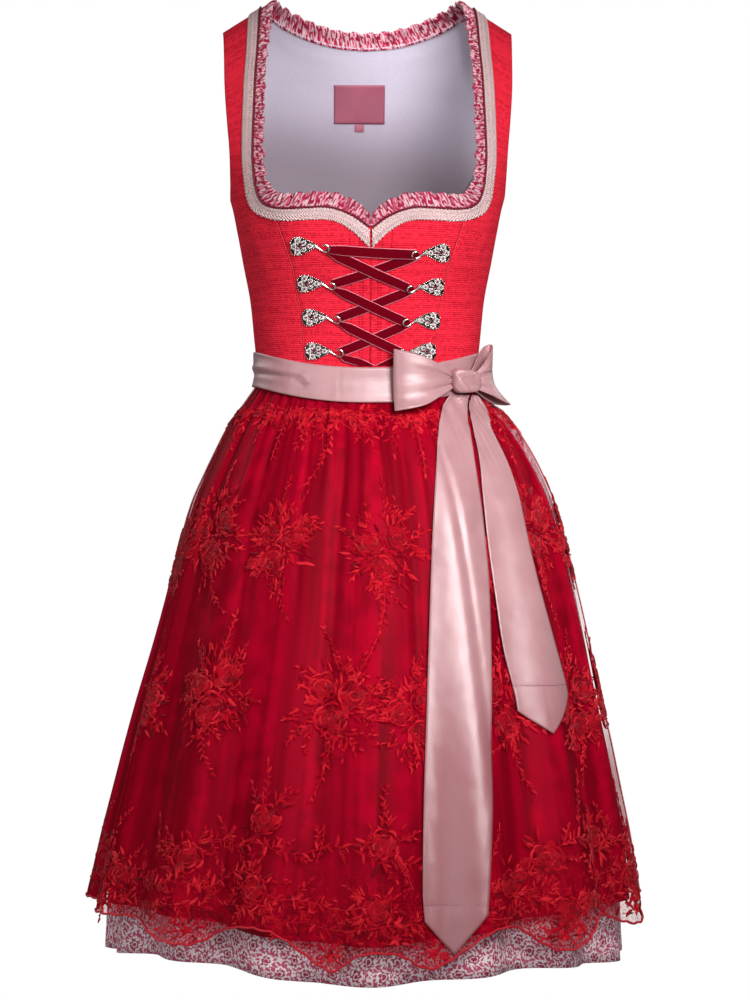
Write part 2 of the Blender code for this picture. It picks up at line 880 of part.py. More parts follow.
def build_neck_trim(group):
    back_shares = inset(steps(PIPE_BACK_POINTS), PIPE_BACK_PARTING)
    lengths = [NECK_LENGTH * share for share in inset(steps(PIPE_POINTS), PIPE_PARTING)]
    back_lengths = [NECK_BACK_LENGTH * share for share in back_shares]
    braid_rows = [NECK_LENGTH * share for share in inset(steps(BRAID_POINTS), BRAID_PARTING)]
    for word, side in (("right", -1), ("left", 1)):
        def braid(u, v, side=side):
            share = mix(BRAID_INNER, 1, u)
            return trim_point(NECK_FRONT, BRAID_EDGE, v, share, side, BRAID_MIDDLE)

        cloth(group, f"braid_{word}", braid, steps(2), braid_rows, FINE_CLOTH, BRAID_CREAM)
        line = [
            trim_point(NECK_FRONT, BRAID_EDGE, max(length, PIPE_START), PIPE_SHARE, side, PIPE_MIDDLE)
            for length in lengths[1:]
        ]
        tube(group, f"piping_{word}", line, PIPE_RADIUS, PIPING_RED)
        build_ruffle(group, f"ruffle_{word}", side)
    round_back = [(length, -1) for length in back_lengths]
    round_back += [(length, 1) for length in reversed(back_lengths[:-1])]
    line = [piping_back_point(length, side) for length, side in round_back]
    tube(group, "piping_back", line, PIPE_RADIUS, PIPING_RED)
    build_back_ruffle(group)


def piping_back_point(length, side):
    """Point of the piping on the cloth of the back, just outside the neckline."""
    drop = along(NECK_BACK, length, 2)
    x = along(NECK_BACK, length, 1)
    below = PIPE_BACK_BELOW * smooth(length / PIPE_BACK_TURN)
    outside = PIPE_BACK_OUTSIDE * (1 - smooth(length / PIPE_BACK_TURN))
    x = max(x + outside, AXIS_GAP) * side
    return on_body(body_angle(x, drop + below, True), drop + below, PIPE_MIDDLE)


def ruffle_wave(place, waves):
    """Height of the ruffle's free edge, even but for a slow swell."""
    swell = 1 + RUFFLE_SWELL * math.sin(place * waves * RUFFLE_SWELL_PACE)
    return RUFFLE_HEIGHT * swell * math.sin(2 * math.pi * waves * place)


def build_ruffle(group, name, side):
    shares = inset(steps(RUFFLE_FRONT_WAVES * RUFFLE_STEPS), RUFFLE_PARTING)
    columns = [NECK_LENGTH * share for share in shares]

    def point(length, v):
        wave = ruffle_wave(length / NECK_LENGTH, RUFFLE_FRONT_WAVES)
        off = CLOTH_MIDDLE + v * (RUFFLE_LEAN + wave)
        return trim_point(NECK_FRONT, RUFFLE_EDGE, length, mix(RUFFLE_ROOT, 1, v), side, off)

    cloth(group, name, point, columns, steps(1), FINE_CLOTH, RUFFLE_PRINT)


def build_back_ruffle(group):
    shares = inset(steps(RUFFLE_BACK_WAVES * RUFFLE_STEPS), RUFFLE_BACK_PARTING)

    def point(share, v):
        side = 1 if share >= 0.5 else -1
        length = NECK_BACK_LENGTH * (1 - abs(2 * share - 1))
        off = CLOTH_MIDDLE + v * (RUFFLE_LEAN + ruffle_wave(share, RUFFLE_BACK_WAVES))
        reach = mix(RUFFLE_BACK_ROOT, 1, v)
        x = mix(along(NECK_BACK, length, 1), along(RUFFLE_BACK_EDGE, length, 1), reach)
        drop = mix(along(NECK_BACK, length, 2), along(RUFFLE_BACK_EDGE, length, 2), reach)
        drop = max(drop, SHOULDER_DROP)
        return on_body(body_angle(side * max(x, AXIS_GAP), drop, True), drop, off)

    cloth(group, "ruffle_back", point, shares, steps(1), FINE_CLOTH, RUFFLE_PRINT)


def on_front(x, drop, off):
    return on_body(body_angle(x, drop), drop, off)


def build_hooks(group):
    for row, right_x, right_drop, left_x, left_drop in HOOKS:
        for word, side, eye_x, eye_drop in (
            ("right", -1, right_x, right_drop),
            ("left", 1, left_x, left_drop),
        ):
            def point(u, v, side=side, eye_x=eye_x, eye_drop=eye_drop):
                outwards = straight(HOOK_SHAPE, u, 1)
                half = straight(HOOK_SHAPE, u, 2)
                middle = straight(HOOK_SHAPE, u, 3)
                return on_front(side * (eye_x + outwards), eye_drop + half * (2 * v - 1), middle)

            columns = [shape[0] for shape in HOOK_SHAPE]
            cloth(group, f"hook_{row}_{word}", point, columns, steps(1), HOOK_WALL, HOOK_SILVER)


def lace_end(row, side):
    """Where a lace meets the eye of a hook."""
    right_x, right_drop, left_x, left_drop = HOOKS[row - 1][1:]
    if side < 0:
        return Vector((-right_x + LACE_TUCK, right_drop, 0))
    return Vector((left_x - LACE_TUCK, left_drop, 0))


def build_laces(group):
    """Ribbon from hook to hook: one bar, then the falling and rising crossings."""
    def strip(name, start, stop, middle):
        run = (stop - start).normalized()
        across = Vector((-run.y, run.x, 0)) * LACE_HALF

        def point(u, v):
            place = start + (stop - start) * u + across * (2 * v - 1)
            return on_front(place.x, place.y, middle)

        cloth(group, name, point, steps(LACE_SEGMENTS), steps(1), FINE_CLOTH, LACE_VELVET)

    strip("lace_bar", lace_end(1, -1), lace_end(1, 1), LACE_BAR)
    for row in (1, 2, 3):
        strip(f"lace_front_{row}", lace_end(row, -1), lace_end(row + 1, 1), LACE_FRONT)
        strip(f"lace_rear_{row}", lace_end(row, 1), lace_end(row + 1, -1), LACE_REAR)

    def tucked(name, side, middle):
        start = lace_end(4, side)
        foot = waist_drop(LAST_ANGLE) + SASH[0][0] - SASH_CLEARANCE

        def point(u, v):
            edge = 2 * v - 1
            x = mix(start.x, LAST_FEET[side], u) - side * edge * mix(LAST_NARROW, LAST_WIDE, u)
            drop = mix(start.y - LAST_SLANT * edge, foot, u)
            return on_front(x, drop, middle)

        cloth(group, name, point, steps(2), steps(2), FINE_CLOTH, LACE_VELVET)

    tucked("lace_front_4", -1, LACE_FRONT)
    tucked("lace_rear_4", 1, LACE_REAR)


def build_sash(group):
    """Band of the apron in front, and the tie that runs on round the back."""
    below = [row[0] for row in SASH]

    def point(degrees, place):
        return on_waist(math.radians(degrees), place, straight(SASH, place, 1))

    start, stop = SASH_FRONT
    front = [mix(start, stop, share) for share in inset(steps(SASH_FRONT_STEPS), SASH_PARTING)]
    back = [mix(stop, start + 360, share) for share in inset(steps(SASH_BACK_STEPS), SASH_PARTING)]
    cloth(group, "apron_band", point, front, below, SASH_WALL, SASH_SATIN)
    cloth(group, "apron_tie_back", point, back, below, SASH_WALL, SASH_SATIN)


def on_bow(sideways, up, off):
    """Point in the bow's flat frame, laid round the waist."""
    angle = math.radians(BOW_ANGLE) + sideways / BOW_TURN
    below = BOW_DROP - up - waist_drop(angle)
    return on_waist(angle, below, off)


def build_bow(group):
    shape = bmesh.new()
    bmesh.ops.create_uvsphere(shape, u_segments=12, v_segments=8, radius=1.0)
    for vertex in shape.verts:
        x, y, z = (power(value, KNOT_SQUARENESS) for value in vertex.co)
        total = sum(abs(value) ** KNOT_ROUNDNESS for value in (x, y, z))
        length = total ** (1 / KNOT_ROUNDNESS)
        sideways = x / length * KNOT_HALF[0]
        up = z / length * KNOT_HALF[1]
        point = on_bow(sideways, up, KNOT_MIDDLE - y / length * KNOT_HALF[2])
        vertex.co = point * MM
    bmesh.ops.recalc_face_normals(shape, faces=shape.faces[:])
    mesh = bpy.data.meshes.new("bow_knot")
    shape.to_mesh(mesh)
    shape.free()
    mesh.shade_smooth()
    knot = bpy.data.objects.new("bow_knot", mesh)
    group.objects.link(knot)
    dress(knot, SASH_SATIN)
    for word, reach in LOOP_REACH.items():
        root = math.copysign(LOOP_ROOT, reach)
        rise = LOOP_RISE[word]

        def point(u, v, root=root, reach=reach, rise=rise):
            out = along(LOOP_PATH, u, 1)
            up = along(LOOP_HEIGHT, out, 1) * (2 * v - 1) + rise * out
            return on_bow(mix(root, reach, out), up, along(LOOP_PATH, u, 2))

        cloth(group, f"bow_loop_{word}", point, LOOP_ROWS, steps(3), THIN_CLOTH, SASH_SATIN)


def build_tails(group):
    """The two hanging ends of the sash, laid over the apron and cut to a point."""
    for name, edges, foot in (
        ("tail_long", TAIL_LONG, TAIL_LONG_FOOT),
        ("tail_short", TAIL_SHORT, TAIL_SHORT_FOOT),
    ):
        def point(u, v, edges=edges, foot=foot):
            drop = mix(edges[0][0], straight(foot, u, 1), v)
            x = mix(along(edges, drop, 1), along(edges, drop, 2), u)
            share = (drop - WAIST_DROP) / (HEM_DROP - WAIST_DROP)
            for _ in range(3):
                angle = net_angle(x, share)
                share = (drop - waist_drop(angle)) / (HEM_DROP - waist_drop(angle))
            off = along(APRON_OFF, share, NET_OFF) + along(TAIL_LIFT, drop, 1)
            return on_skirt(angle, share, off)

        cloth(group, name, point, steps(TAIL_COLUMNS), TAIL_ROWS, THIN_CLOTH, SASH_SATIN)


def build_skirt(group):
    """Four gathered panels, parted a little wider where the gathers are tight."""
    top = WAIST_GAP / (HEM_DROP - WAIST_DROP)
    rows = [top] + list(SKIRT_ROWS[1:])
    for name, first, last in SKIRT_PANELS:
        def point(index, share, first=first, last=last):
            angle = math.radians(COLUMN_ANGLE * index)
            parting = SKIRT_PARTING + SEAM_GAP * (1 - smooth(share / GATHER_FADE))
            if index == first:
                angle += parting / along(SKIRT, mix(WAIST_DROP, HEM_DROP, share), FRONT_DEPTH)
            if index == last:
                angle -= parting / along(SKIRT, mix(WAIST_DROP, HEM_DROP, share), FRONT_DEPTH)
            lift = along(HEM_LIFT, (COLUMN_ANGLE * index + 180) % 360 - 180, 1)
            share *= 1 - lift / (HEM_DROP - WAIST_DROP)
            return on_skirt(angle, share, CLOTH / 2)

        cloth(group, name, point, range(first, last + 1), rows, CLOTH, SKIRT_COTTON)


def build_apron(group):
    for name, hem, column, (first, last), wall, finish in (
        ("apron_lining", APRON_LINING_HEM, LINING_OFF, APRON_LINING_COLUMNS, FINE_CLOTH, APRON_SATIN),
        ("apron_net", NET_HEM, NET_OFF, NET_COLUMNS, FINE_CLOTH, APRON_NET),
    ):
        def point(degrees, v, hem=hem, column=column):
            angle = math.radians(degrees)
            top = waist_drop(angle)
            share = v
            if v == 0:
                share = APRON_TOP / (HEM_DROP - top)
            elif v == 1:
                share = (along(hem, degrees, 1) - top) / (HEM_DROP - top)
            return on_skirt(angle, share, along(APRON_OFF, share, column))

        angles = [COLUMN_ANGLE * index for index in range(first, last + 1)]
        cloth(group, name, point, angles, SKIRT_ROWS, wall, finish)


def main():
    clear_scene()
    group = collection_named("dirndl")
    build_bodice(group)
    build_inside(group)
    build_neck_trim(group)
    build_hooks(group)
    build_laces(group)
    build_sash(group)
    build_bow(group)
    build_tails(group)
    build_skirt(group)
    build_apron(group)


main()
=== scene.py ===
"""Looks of a dirndl as it is worn, filled out with nobody in it.

The front faces -Y and +X is the wearer's left. Tables and sizes are in millimetres, and a
drop is a distance below the shoulder seams. Every piece repeats the form of the solid that
it stands for, on a finer grid, with its creases, stitching and finish.
"""

import logging
import math
import random
from collections.abc import Callable, Sequence
from dataclasses import dataclass, field
from enum import Enum

import bmesh
import bpy
import numpy as np
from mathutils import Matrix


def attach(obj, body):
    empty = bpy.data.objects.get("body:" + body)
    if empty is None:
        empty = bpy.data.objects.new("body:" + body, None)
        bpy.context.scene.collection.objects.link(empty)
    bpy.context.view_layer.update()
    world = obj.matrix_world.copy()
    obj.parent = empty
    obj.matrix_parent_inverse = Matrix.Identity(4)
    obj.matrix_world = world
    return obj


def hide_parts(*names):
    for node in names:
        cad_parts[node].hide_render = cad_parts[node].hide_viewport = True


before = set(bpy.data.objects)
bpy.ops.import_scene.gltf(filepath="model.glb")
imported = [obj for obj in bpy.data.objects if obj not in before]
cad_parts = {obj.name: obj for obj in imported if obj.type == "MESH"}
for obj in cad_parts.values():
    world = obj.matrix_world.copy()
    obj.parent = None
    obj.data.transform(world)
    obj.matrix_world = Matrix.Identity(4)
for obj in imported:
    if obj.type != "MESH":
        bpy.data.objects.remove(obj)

Array = np.ndarray
Table = tuple[tuple[float, ...], ...]
Colour = tuple[float, float, float]
Socket = bpy.types.NodeSocket
Value = float | Socket
Item = bpy.types.Object
Material = bpy.types.Material

LOG = logging.getLogger("dirndl")
MM = 0.001
BODY = "root"
CLOTH_MAP = "Cloth"
TONE = "tone"
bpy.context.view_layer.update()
SHOULDER_DROP = 0.0006
SIDES = (("right", -1), ("left", 1))


class Held(Enum):
    """How a sheet of cloth is held."""

    HUNG = "hung"
    GATHERED = "gathered"
    LAID = "laid"
    FOLDED = "folded"
    STRETCHED = "stretched"


class Effect(Enum):
    """Shader effects that several finishes share."""

    WEAVE = "PlainWeave"
    RIBS = "RibbedWeave"
    # Painted shade in upright streaks, standing in for the shade of hanging folds
    FOLDS = "HangingFolds"
    TWILL = "SatinTwill"
    PRINT = "SmallPrint"
    STITCH = "StitchRow"
    NET = "NetMesh"
    THREAD = "SatinStitch"


def smooth(part: Array | float) -> Array:
    """Turn a share into a soft step from 0 to 1."""
    part = np.clip(part, 0.0, 1.0)
    return part * part * (3 - 2 * part)


def mix(start: Array | float, stop: Array | float, part: Array | float) -> Array:
    """Value at a share of the way from start to stop."""
    return start + (stop - start) * part


def power(value: Array, exponent: Array | float) -> Array:
    """Raise a value to a power and keep its sign."""
    return np.copysign(np.abs(value) ** exponent, value)


def along(rows: Table, place: Array | float, column: int) -> Array:
    """Read a table's column on a smooth curve through its rows.

    Args:
        rows: The table, with its places in the first column.
        place: Where it is read.
        column: The column that is read.

    Returns:
        The values, one for each place.
    """
    table = np.asarray(rows, dtype=float)
    knots = table[:, 0]
    values = table[:, column]
    index = np.arange(len(knots))
    before = np.maximum(index - 1, 0)
    after = np.minimum(index + 1, len(knots) - 1)
    slopes = (values[after] - values[before]) / (knots[after] - knots[before])
    place = np.clip(place, knots[0], knots[-1])
    low = np.clip(np.searchsorted(knots, place, side="right") - 1, 0, len(knots) - 2)
    span = knots[low + 1] - knots[low]
    part = (place - knots[low]) / span
    square = part * part
    cube = square * part
    return (
        (2 * cube - 3 * square + 1) * values[low] + (cube - 2 * square + part) * span * slopes[low]
        + (3 * square - 2 * cube) * values[low + 1] + (cube - square) * span * slopes[low + 1]
    )


def straight(rows: Table, place: Array | float, column: int) -> Array:
    """Read a table's column on straight lines between its rows."""
    table = np.asarray(rows, dtype=float)
    return np.interp(place, table[:, 0], table[:, column])


def ring(angle: Array, half: Array, front: Array, back: Array, roundness: Array) -> tuple[Array, Array]:
    """Point of a flattened ring, with angle 0 at the centre front and +90 degrees at the left."""
    exponent = 2 / roundness
    depth = np.where(np.cos(angle) >= 0, front, back)
    return half * power(np.sin(angle), exponent), -depth * power(np.cos(angle), exponent)


def ring_angle(x: Array, half: Array, roundness: Array) -> Array:
    """Angle on the front of a ring at which it reaches x."""
    share = np.minimum(np.abs(x) / half, 1.0)
    return np.copysign(np.arcsin(share ** (roundness / 2)), x)


def grid(columns: Sequence[float] | Array, rows: Sequence[float] | Array) -> tuple[Array, Array]:
    """Spread column and row places over a grid, rows first."""
    return np.meshgrid(np.asarray(columns, dtype=float), np.asarray(rows, dtype=float))


def steps(count: int) -> Array:
    """Even shares from 0 to 1."""
    return np.linspace(0, 1, count)


def run_length(path: Array) -> Array:
    """Distance run along a path at each of its points."""
    return np.cumsum(np.linalg.norm(np.diff(path, axis=0, prepend=path[:1]), axis=1))


def cord_places(length: Array, sides: int) -> Array:
    """Places on a cord's skin: distance along it, then number of the side."""
    return np.stack(np.broadcast_arrays(length[:, None], np.arange(sides + 1.0)[None, :]), axis=-1)


def unit(vectors: Array) -> Array:
    """Scale vectors to length 1."""
    return vectors / np.maximum(np.linalg.norm(vectors, axis=-1, keepdims=True), 1e-9)


@dataclass(frozen=True)
class Crease:
    """A soft ridge laid on a sheet, or a trough where its depth is negative."""

    start: tuple[float, float]
    end: tuple[float, float]
    width: float
    depth: float

    def height(self, x: Array, y: Array) -> Array:
        """Height of the crease at places on the sheet.

        Args:
            x: Places across, in the sheet's own units.
            y: Places down, in the sheet's own units.

        Returns:
            The height at each place, fading past both ends.
        """
        run_x = self.end[0] - self.start[0]
        run_y = self.end[1] - self.start[1]
        length = math.hypot(run_x, run_y)
        part = ((x - self.start[0]) * run_x + (y - self.start[1]) * run_y) / length**2
        aside = ((x - self.start[0]) * run_y - (y - self.start[1]) * run_x) / length
        ends = smooth((part + 0.2) / 0.45) * smooth((1.2 - part) / 0.45)
        return self.depth * np.exp(-((aside / self.width) ** 2)) * ends


def creased(x: Array, y: Array, creases: Sequence[Crease]) -> Array:
    """Sum of the creases' heights at places on a sheet."""
    total = np.zeros_like(x, dtype=float)
    for crease in creases:
        total += crease.height(x, y)
    return total


@dataclass(frozen=True)
class BodiceBlock:
    """The shape that the bodice is cut to, from the shoulders down.

    The rows hold drop, half width, front depth, back depth and roundness of the section.
    """

    rows: Table = (
        (0, 190, 70, 70, 2.4), (60, 185, 72, 66, 2.4), (110, 170, 85, 78, 2.4), (150, 152, 104, 88, 2.4),
        (190, 137.5, 115, 91, 2.4), (225, 130, 118, 90, 2.4), (255, 124.5, 113, 88, 2.35),
        (290, 117.8, 101, 84, 2.35), (330, 113.6, 92, 82.5, 2.4), (371, 109.8, 88, 84, 2.4),
        (400, 110, 88, 84, 2.4)
    )
    shoulder_round: float = 90
    slope: float = 0.62
    slope_middle: float = 117
    slope_inside: float = 96
    slope_full: float = 60
    slope_end: float = 190
    cup_height: float = 11
    cup_x: float = 76
    cup_drop: float = 215
    cup_spread_x: float = 42
    cup_spread_drop: float = 52
    cup_side: float = 3
    angle_step: float = 0.004
    drop_step: float = 0.4

    def point(self, angle: Array, drop: Array) -> Array:
        """Point of the block, before any wall."""
        arch = 1 - np.minimum(drop / self.shoulder_round, 1.0)
        cap = np.sqrt(np.maximum(1 - arch * arch, 0.0))
        front = along(self.rows, drop, 2) * cap
        back = along(self.rows, drop, 3) * cap
        x, y = ring(angle, along(self.rows, drop, 1), front, back, along(self.rows, drop, 4))
        across = (np.abs(x) - self.cup_x) / self.cup_spread_x
        down = (drop - self.cup_drop) / self.cup_spread_drop
        swell = self.cup_height * np.exp(-across * across - down * down)
        y = y - swell * smooth(self.cup_side * np.cos(angle))
        fade = 1 - smooth((drop - self.slope_full) / (self.slope_end - self.slope_full))
        rise = self.slope * (self.slope_middle - np.maximum(np.abs(x), self.slope_inside)) * fade
        return np.stack([x, y, rise - drop], axis=-1)

    def on(self, angle: Array, drop: Array, off: Array | float) -> Array:
        """Point at a distance outwards from the block."""
        high = np.maximum(drop - self.drop_step, 0.0)
        across = self.point(angle + self.angle_step, drop) - self.point(angle - self.angle_step, drop)
        down = self.point(angle, drop + self.drop_step) - self.point(angle, high)
        normal = unit(np.cross(down, across))
        return self.point(angle, drop) + normal * np.expand_dims(off * np.ones_like(drop), -1)

    def angle_at(self, x: Array, drop: Array, back: bool = False) -> Array:
        """Angle at which the block reaches x, on its front or its back."""
        angle = ring_angle(x, along(self.rows, drop, 1), along(self.rows, drop, 4))
        return np.copysign(math.pi, x) - angle if back else angle

    def on_front(self, x: Array, drop: Array, off: Array | float) -> Array:
        """Point off the front of the block at a half width and a drop."""
        return self.on(self.angle_at(x, drop), drop, off)


@dataclass(frozen=True)
class SkirtBlock:
    """The gathered skirt's shape, which apron and sash ends follow.

    The rows hold drop at the side, half width, front depth, back depth, roundness and shift
    to +X. A share runs from 0 at the waist seam to 1 at the hem. Creases are in degrees
    round the skirt and hundredths of its length.
    """

    body: BodiceBlock = field(default_factory=BodiceBlock)
    rows: Table = (
        (362, 110, 88, 84, 2.4, 0), (378, 111, 89, 85, 2.35, 1), (393, 121.5, 96, 93, 2.2, 2),
        (408, 134.5, 105, 103, 2.1, 4), (424, 146.5, 114, 112, 2.03, 5.5), (450, 161, 125, 124, 2, 7.5),
        (476, 173, 133.8, 135.7, 2, 8), (496, 181, 140, 143, 2, 8), (525, 189, 147, 152, 2, 8),
        (554, 196, 153, 160, 2, 8), (600, 206, 163, 172, 2, 8), (646, 216, 172, 183, 2, 7),
        (702, 228, 183, 196, 2, 5), (749, 237, 192, 205, 2, 4), (792, 244, 199, 211, 2, 3),
        (839, 251, 206, 218, 2, 2), (878, 254, 209, 222, 2, 1), (908, 256, 211, 224, 2, 0),
        (965, 258, 213, 227, 2, 0)
    )
    waist: float = 362
    waist_dip: float = 19
    hem: float = 965
    gathers: int = 48
    gather_height: float = 1.1
    gather_fade: float = 0.16
    folds: int = 15
    fold_height: float = 10.5
    fold_start: float = 0.02
    fold_spread: float = 1.3
    fold_growth: float = 1.12
    fold_early: float = 0.25
    fold_early_end: float = 0.3
    fold_uneven: float = 0.22
    fold_uneven_phase: float = 0.6
    fold_wander: float = 0.3
    fold_wander_phase: float = 0.9
    pucker_height: float = 0.5
    pucker_fade: float = 0.2
    creases: tuple[Crease, ...] = (
        Crease((-62, 3), (-66, 34), 1.5, -2.2), Crease((-51, 3), (-49, 22), 1.2, 1.8),
        Crease((-43, 4), (-42, 52), 1.6, -3.0), Crease((-33, 3), (-31, 26), 1.1, 2.0),
        Crease((-27, 4), (-23, 38), 1.3, -2.4), Crease((-18, 3), (-18, 20), 1.0, 1.9),
        Crease((-12, 5), (-14, 62), 1.5, -3.0), Crease((-5, 3), (-5, 30), 1.2, 2.2),
        Crease((2, 3), (4, 24), 1.1, -2.2), Crease((9, 4), (10, 48), 1.5, -2.6),
        Crease((17, 3), (16, 22), 1.1, 1.8), Crease((23, 5), (27, 70), 1.6, -3.0),
        Crease((52, 3), (56, 33), 1.4, -2.2), Crease((66, 3), (67, 26), 1.3, 2.0),
        Crease((78, 4), (81, 45), 1.5, -2.4), Crease((-79, 4), (-82, 44), 1.5, -2.3),
        Crease((101, 3), (103, 30), 1.5, -2.2), Crease((118, 3), (117, 42), 1.6, -2.6),
        Crease((136, 3), (139, 27), 1.3, 2.0), Crease((153, 4), (152, 50), 1.6, -2.8),
        Crease((171, 3), (172, 24), 1.2, 1.9), Crease((189, 4), (188, 44), 1.6, -2.5),
        Crease((204, 3), (207, 30), 1.4, 2.1), Crease((222, 4), (221, 52), 1.6, -2.8),
        Crease((240, 3), (241, 28), 1.4, -2.0), Crease((259, 3), (257, 36), 1.4, 2.0),
        Crease((-36, 55), (-35, 96), 2.2, -3.0), Crease((-13, 70), (-12, 99), 2.0, -2.4),
        Crease((28, 60), (31, 98), 2.0, -2.8), Crease((57, 50), (59, 97), 2.2, -2.4),
        Crease((128, 55), (131, 98), 2.2, -2.6), Crease((178, 58), (176, 97), 2.2, -2.4),
        Crease((232, 52), (229, 98), 2.2, -2.6)
    )

    def waist_drop(self, angle: Array) -> Array:
        """Drop of the waist seam, which dips in front."""
        return self.waist + self.waist_dip * np.maximum(np.cos(angle), 0.0) ** 2

    def base(self, angle: Array, share: Array) -> Array:
        """Point of the block before its folds."""
        drop = mix(self.waist, self.hem, share)
        half, front, back, roundness, shift = (along(self.rows, drop, column) for column in range(1, 6))
        x, y = ring(angle, half, front, back, roundness)
        return np.stack([x + shift, y, -mix(self.waist_drop(angle), self.hem, share)], axis=-1)

    def normal(self, angle: Array, share: Array) -> Array:
        """Level outward direction of the block."""
        step = 0.01
        run = self.base(angle + step, share) - self.base(angle - step, share)
        return unit(np.stack([run[..., 1], -run[..., 0], np.zeros_like(run[..., 0])], axis=-1))

    def fold(self, angle: Array, share: Array) -> Array:
        """Height of the gathers at the waist and of the folds that fall from them."""
        gathers = self.gather_height * np.cos(self.gathers * angle)
        gathers = gathers * (1 - smooth(share / self.gather_fade))
        wander = self.fold_wander * np.sin(2 * angle + self.fold_wander_phase) * np.abs(np.sin(angle))
        uneven = 1 + self.fold_uneven * np.sin(3 * angle + self.fold_uneven_phase)
        grow = self.fold_growth * smooth((share - self.fold_start) / self.fold_spread)
        grow = grow + self.fold_early * smooth(share / self.fold_early_end) * (1 - share)
        return gathers + self.fold_height * grow * uneven * np.cos(self.folds * angle + wander)

    def pucker(self, angle: Array, share: Array) -> Array:
        """Height of the fine puckers and listed creases, the same for every layer."""
        turned = 131 * angle + 2.2 * np.sin(7 * angle) + 3 * share
        fine = self.pucker_height * np.sin(turned) * (1 - smooth(share / self.pucker_fade))
        degrees = np.degrees(angle)
        back = np.where(degrees < -90, degrees + 360, degrees)
        return fine * smooth(share / 0.03) + creased(back, 100 * share, self.creases)

    def on(self, angle: Array, share: Array, off: Array | float) -> Array:
        """Point at a distance outwards from the folded skirt."""
        height = off + self.fold(angle, share) + self.pucker(angle, share)
        return self.base(angle, share) + self.normal(angle, share) * np.expand_dims(height, -1)

    def share_at(self, angle: Array, drop: Array) -> Array:
        """Share of the skirt's length at a drop."""
        top = self.waist_drop(angle)
        return (drop - top) / (self.hem - top)

    def on_waist(self, angle: Array, below: Array, off: Array | float) -> Array:
        """Point outwards from the bodice above the waist seam, or from the skirt below it."""
        top = self.waist_drop(angle)
        upper = self.body.on(angle, top + np.minimum(below, 0.0), off)
        share = np.maximum(below, 0.0) / (self.hem - top)
        height = np.expand_dims(off * np.ones_like(share), -1)
        lower = self.base(angle, share) + self.normal(angle, share) * height
        return np.where(np.expand_dims(below <= 0, -1), upper, lower)


def make_mesh(name: str, points: Array, faces: Array, uv: Array, tones: Array | None) -> Item:
    """Make an object from points in millimetres and four-cornered faces.

    Args:
        name: Name of the object.
        points: Places of the vertices, in millimetres.
        faces: Four vertex numbers for each face.
        uv: Place of each vertex on the cloth, in metres.
        tones: Tone of each vertex, or None for a plain piece.

    Returns:
        The object, linked to the scene and shaded smooth.
    """
    mesh = bpy.data.meshes.new(name)
    mesh.vertices.add(len(points))
    mesh.vertices.foreach_set("co", (points * MM).astype(np.float32).ravel())
    mesh.loops.add(faces.size)
    mesh.loops.foreach_set("vertex_index", faces.astype(np.int32).ravel())
    mesh.polygons.add(len(faces))
    mesh.polygons.foreach_set("loop_start", np.arange(0, faces.size, 4, dtype=np.int32))
    mesh.polygons.foreach_set("loop_total", np.full(len(faces), 4, dtype=np.int32))
    layer = mesh.uv_layers.new(name=CLOTH_MAP)
    layer.data.foreach_set("uv", uv[faces.ravel()].astype(np.float32).ravel())
    if tones is not None:
        values = mesh.attributes.new(TONE, "FLOAT", "POINT")
        values.data.foreach_set("value", tones.astype(np.float32).ravel())
    mesh.update(calc_edges=True)
    mesh.shade_smooth()
    item = bpy.data.objects.new(name, mesh)
    bpy.context.scene.collection.objects.link(item)
    return item


def grid_faces(rows: int, columns: int) -> Array:
    """Corners of the faces of a grid whose vertices run row by row."""
    first = (np.arange(rows - 1)[:, None] * columns + np.arange(columns - 1)[None, :]).ravel()
    return np.stack([first, first + 1, first + columns + 1, first + columns], axis=1)


def settle(item: Item, slot: str, nodes: Sequence[str] = ()) -> Item:
    """Let a piece ride on the dress and hide the solids that it stands for."""
    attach(item, BODY)
    if nodes:
        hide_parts(*nodes)
    LOG.info("%s: %d faces", item.name, len(item.data.polygons))
    return item


@dataclass
class ClothPiece:
    """One sheet of cloth, from its middle surface to the finished piece.

    Attributes:
        name: Name of the piece.
        points: Rows and columns of points on the middle of the wall, in millimetres.
        places: Each point's place on the cloth, across and down, in millimetres.
        wall: Thickness of the cloth, or 0 for a single layer.
        finishes: Material of the outer side, then of the inner side if it differs.
        slot: The record's material slot.
        nodes: Solids that the piece stands for.
        held: How the cloth is held; not used.
        rests_on: What it hangs from or lies on.
        inwards: True where the grid's faces point into the dress and have to be turned.
    """

    name: str
    points: Array
    places: Array
    wall: float
    finishes: Sequence[Material]
    slot: str
    nodes: Sequence[str]
    held: Held = Held.STRETCHED
    rests_on: Sequence[str] = ()
    inwards: bool = False

    def cut(self) -> tuple[float, float, float]:
        """Width, length and area of the flat cut, in metres."""
        across = np.linalg.norm(np.diff(self.points, axis=1), axis=-1).sum(axis=1)
        down = np.linalg.norm(np.diff(self.points, axis=0), axis=-1).sum(axis=0)
        corner = self.points[:-1, :-1]
        one = self.points[:-1, 1:] - corner
        other = self.points[1:, :-1] - corner
        area = np.linalg.norm(np.cross(one, other), axis=-1).sum()
        length = down.max()
        return min(across.max(), 2 * area / length) * MM, length * MM, area * MM * MM

    def build(self) -> Item:
        """Make the object, thicken it, dress it and work out its cut."""
        rows, columns = self.points.shape[:2]
        faces = grid_faces(rows, columns)
        if self.inwards:
            faces = faces[:, ::-1]
        item = make_mesh(self.name, self.points.reshape(-1, 3), faces, self.places.reshape(-1, 2) * MM, None)
        for finish in self.finishes:
            item.data.materials.append(finish)
        if self.wall > 0:
            thicken = item.modifiers.new("Wall", "SOLIDIFY")
            thicken.thickness = self.wall * MM
            thicken.offset = 0.0
            thicken.use_even_offset = False
            if len(self.finishes) > 1:
                thicken.material_offset = 1
        settle(item, self.slot, self.nodes)
        width, length, area = self.cut()
        if min(width, length) > 0.0105:
            list(self.rests_on)
        return item


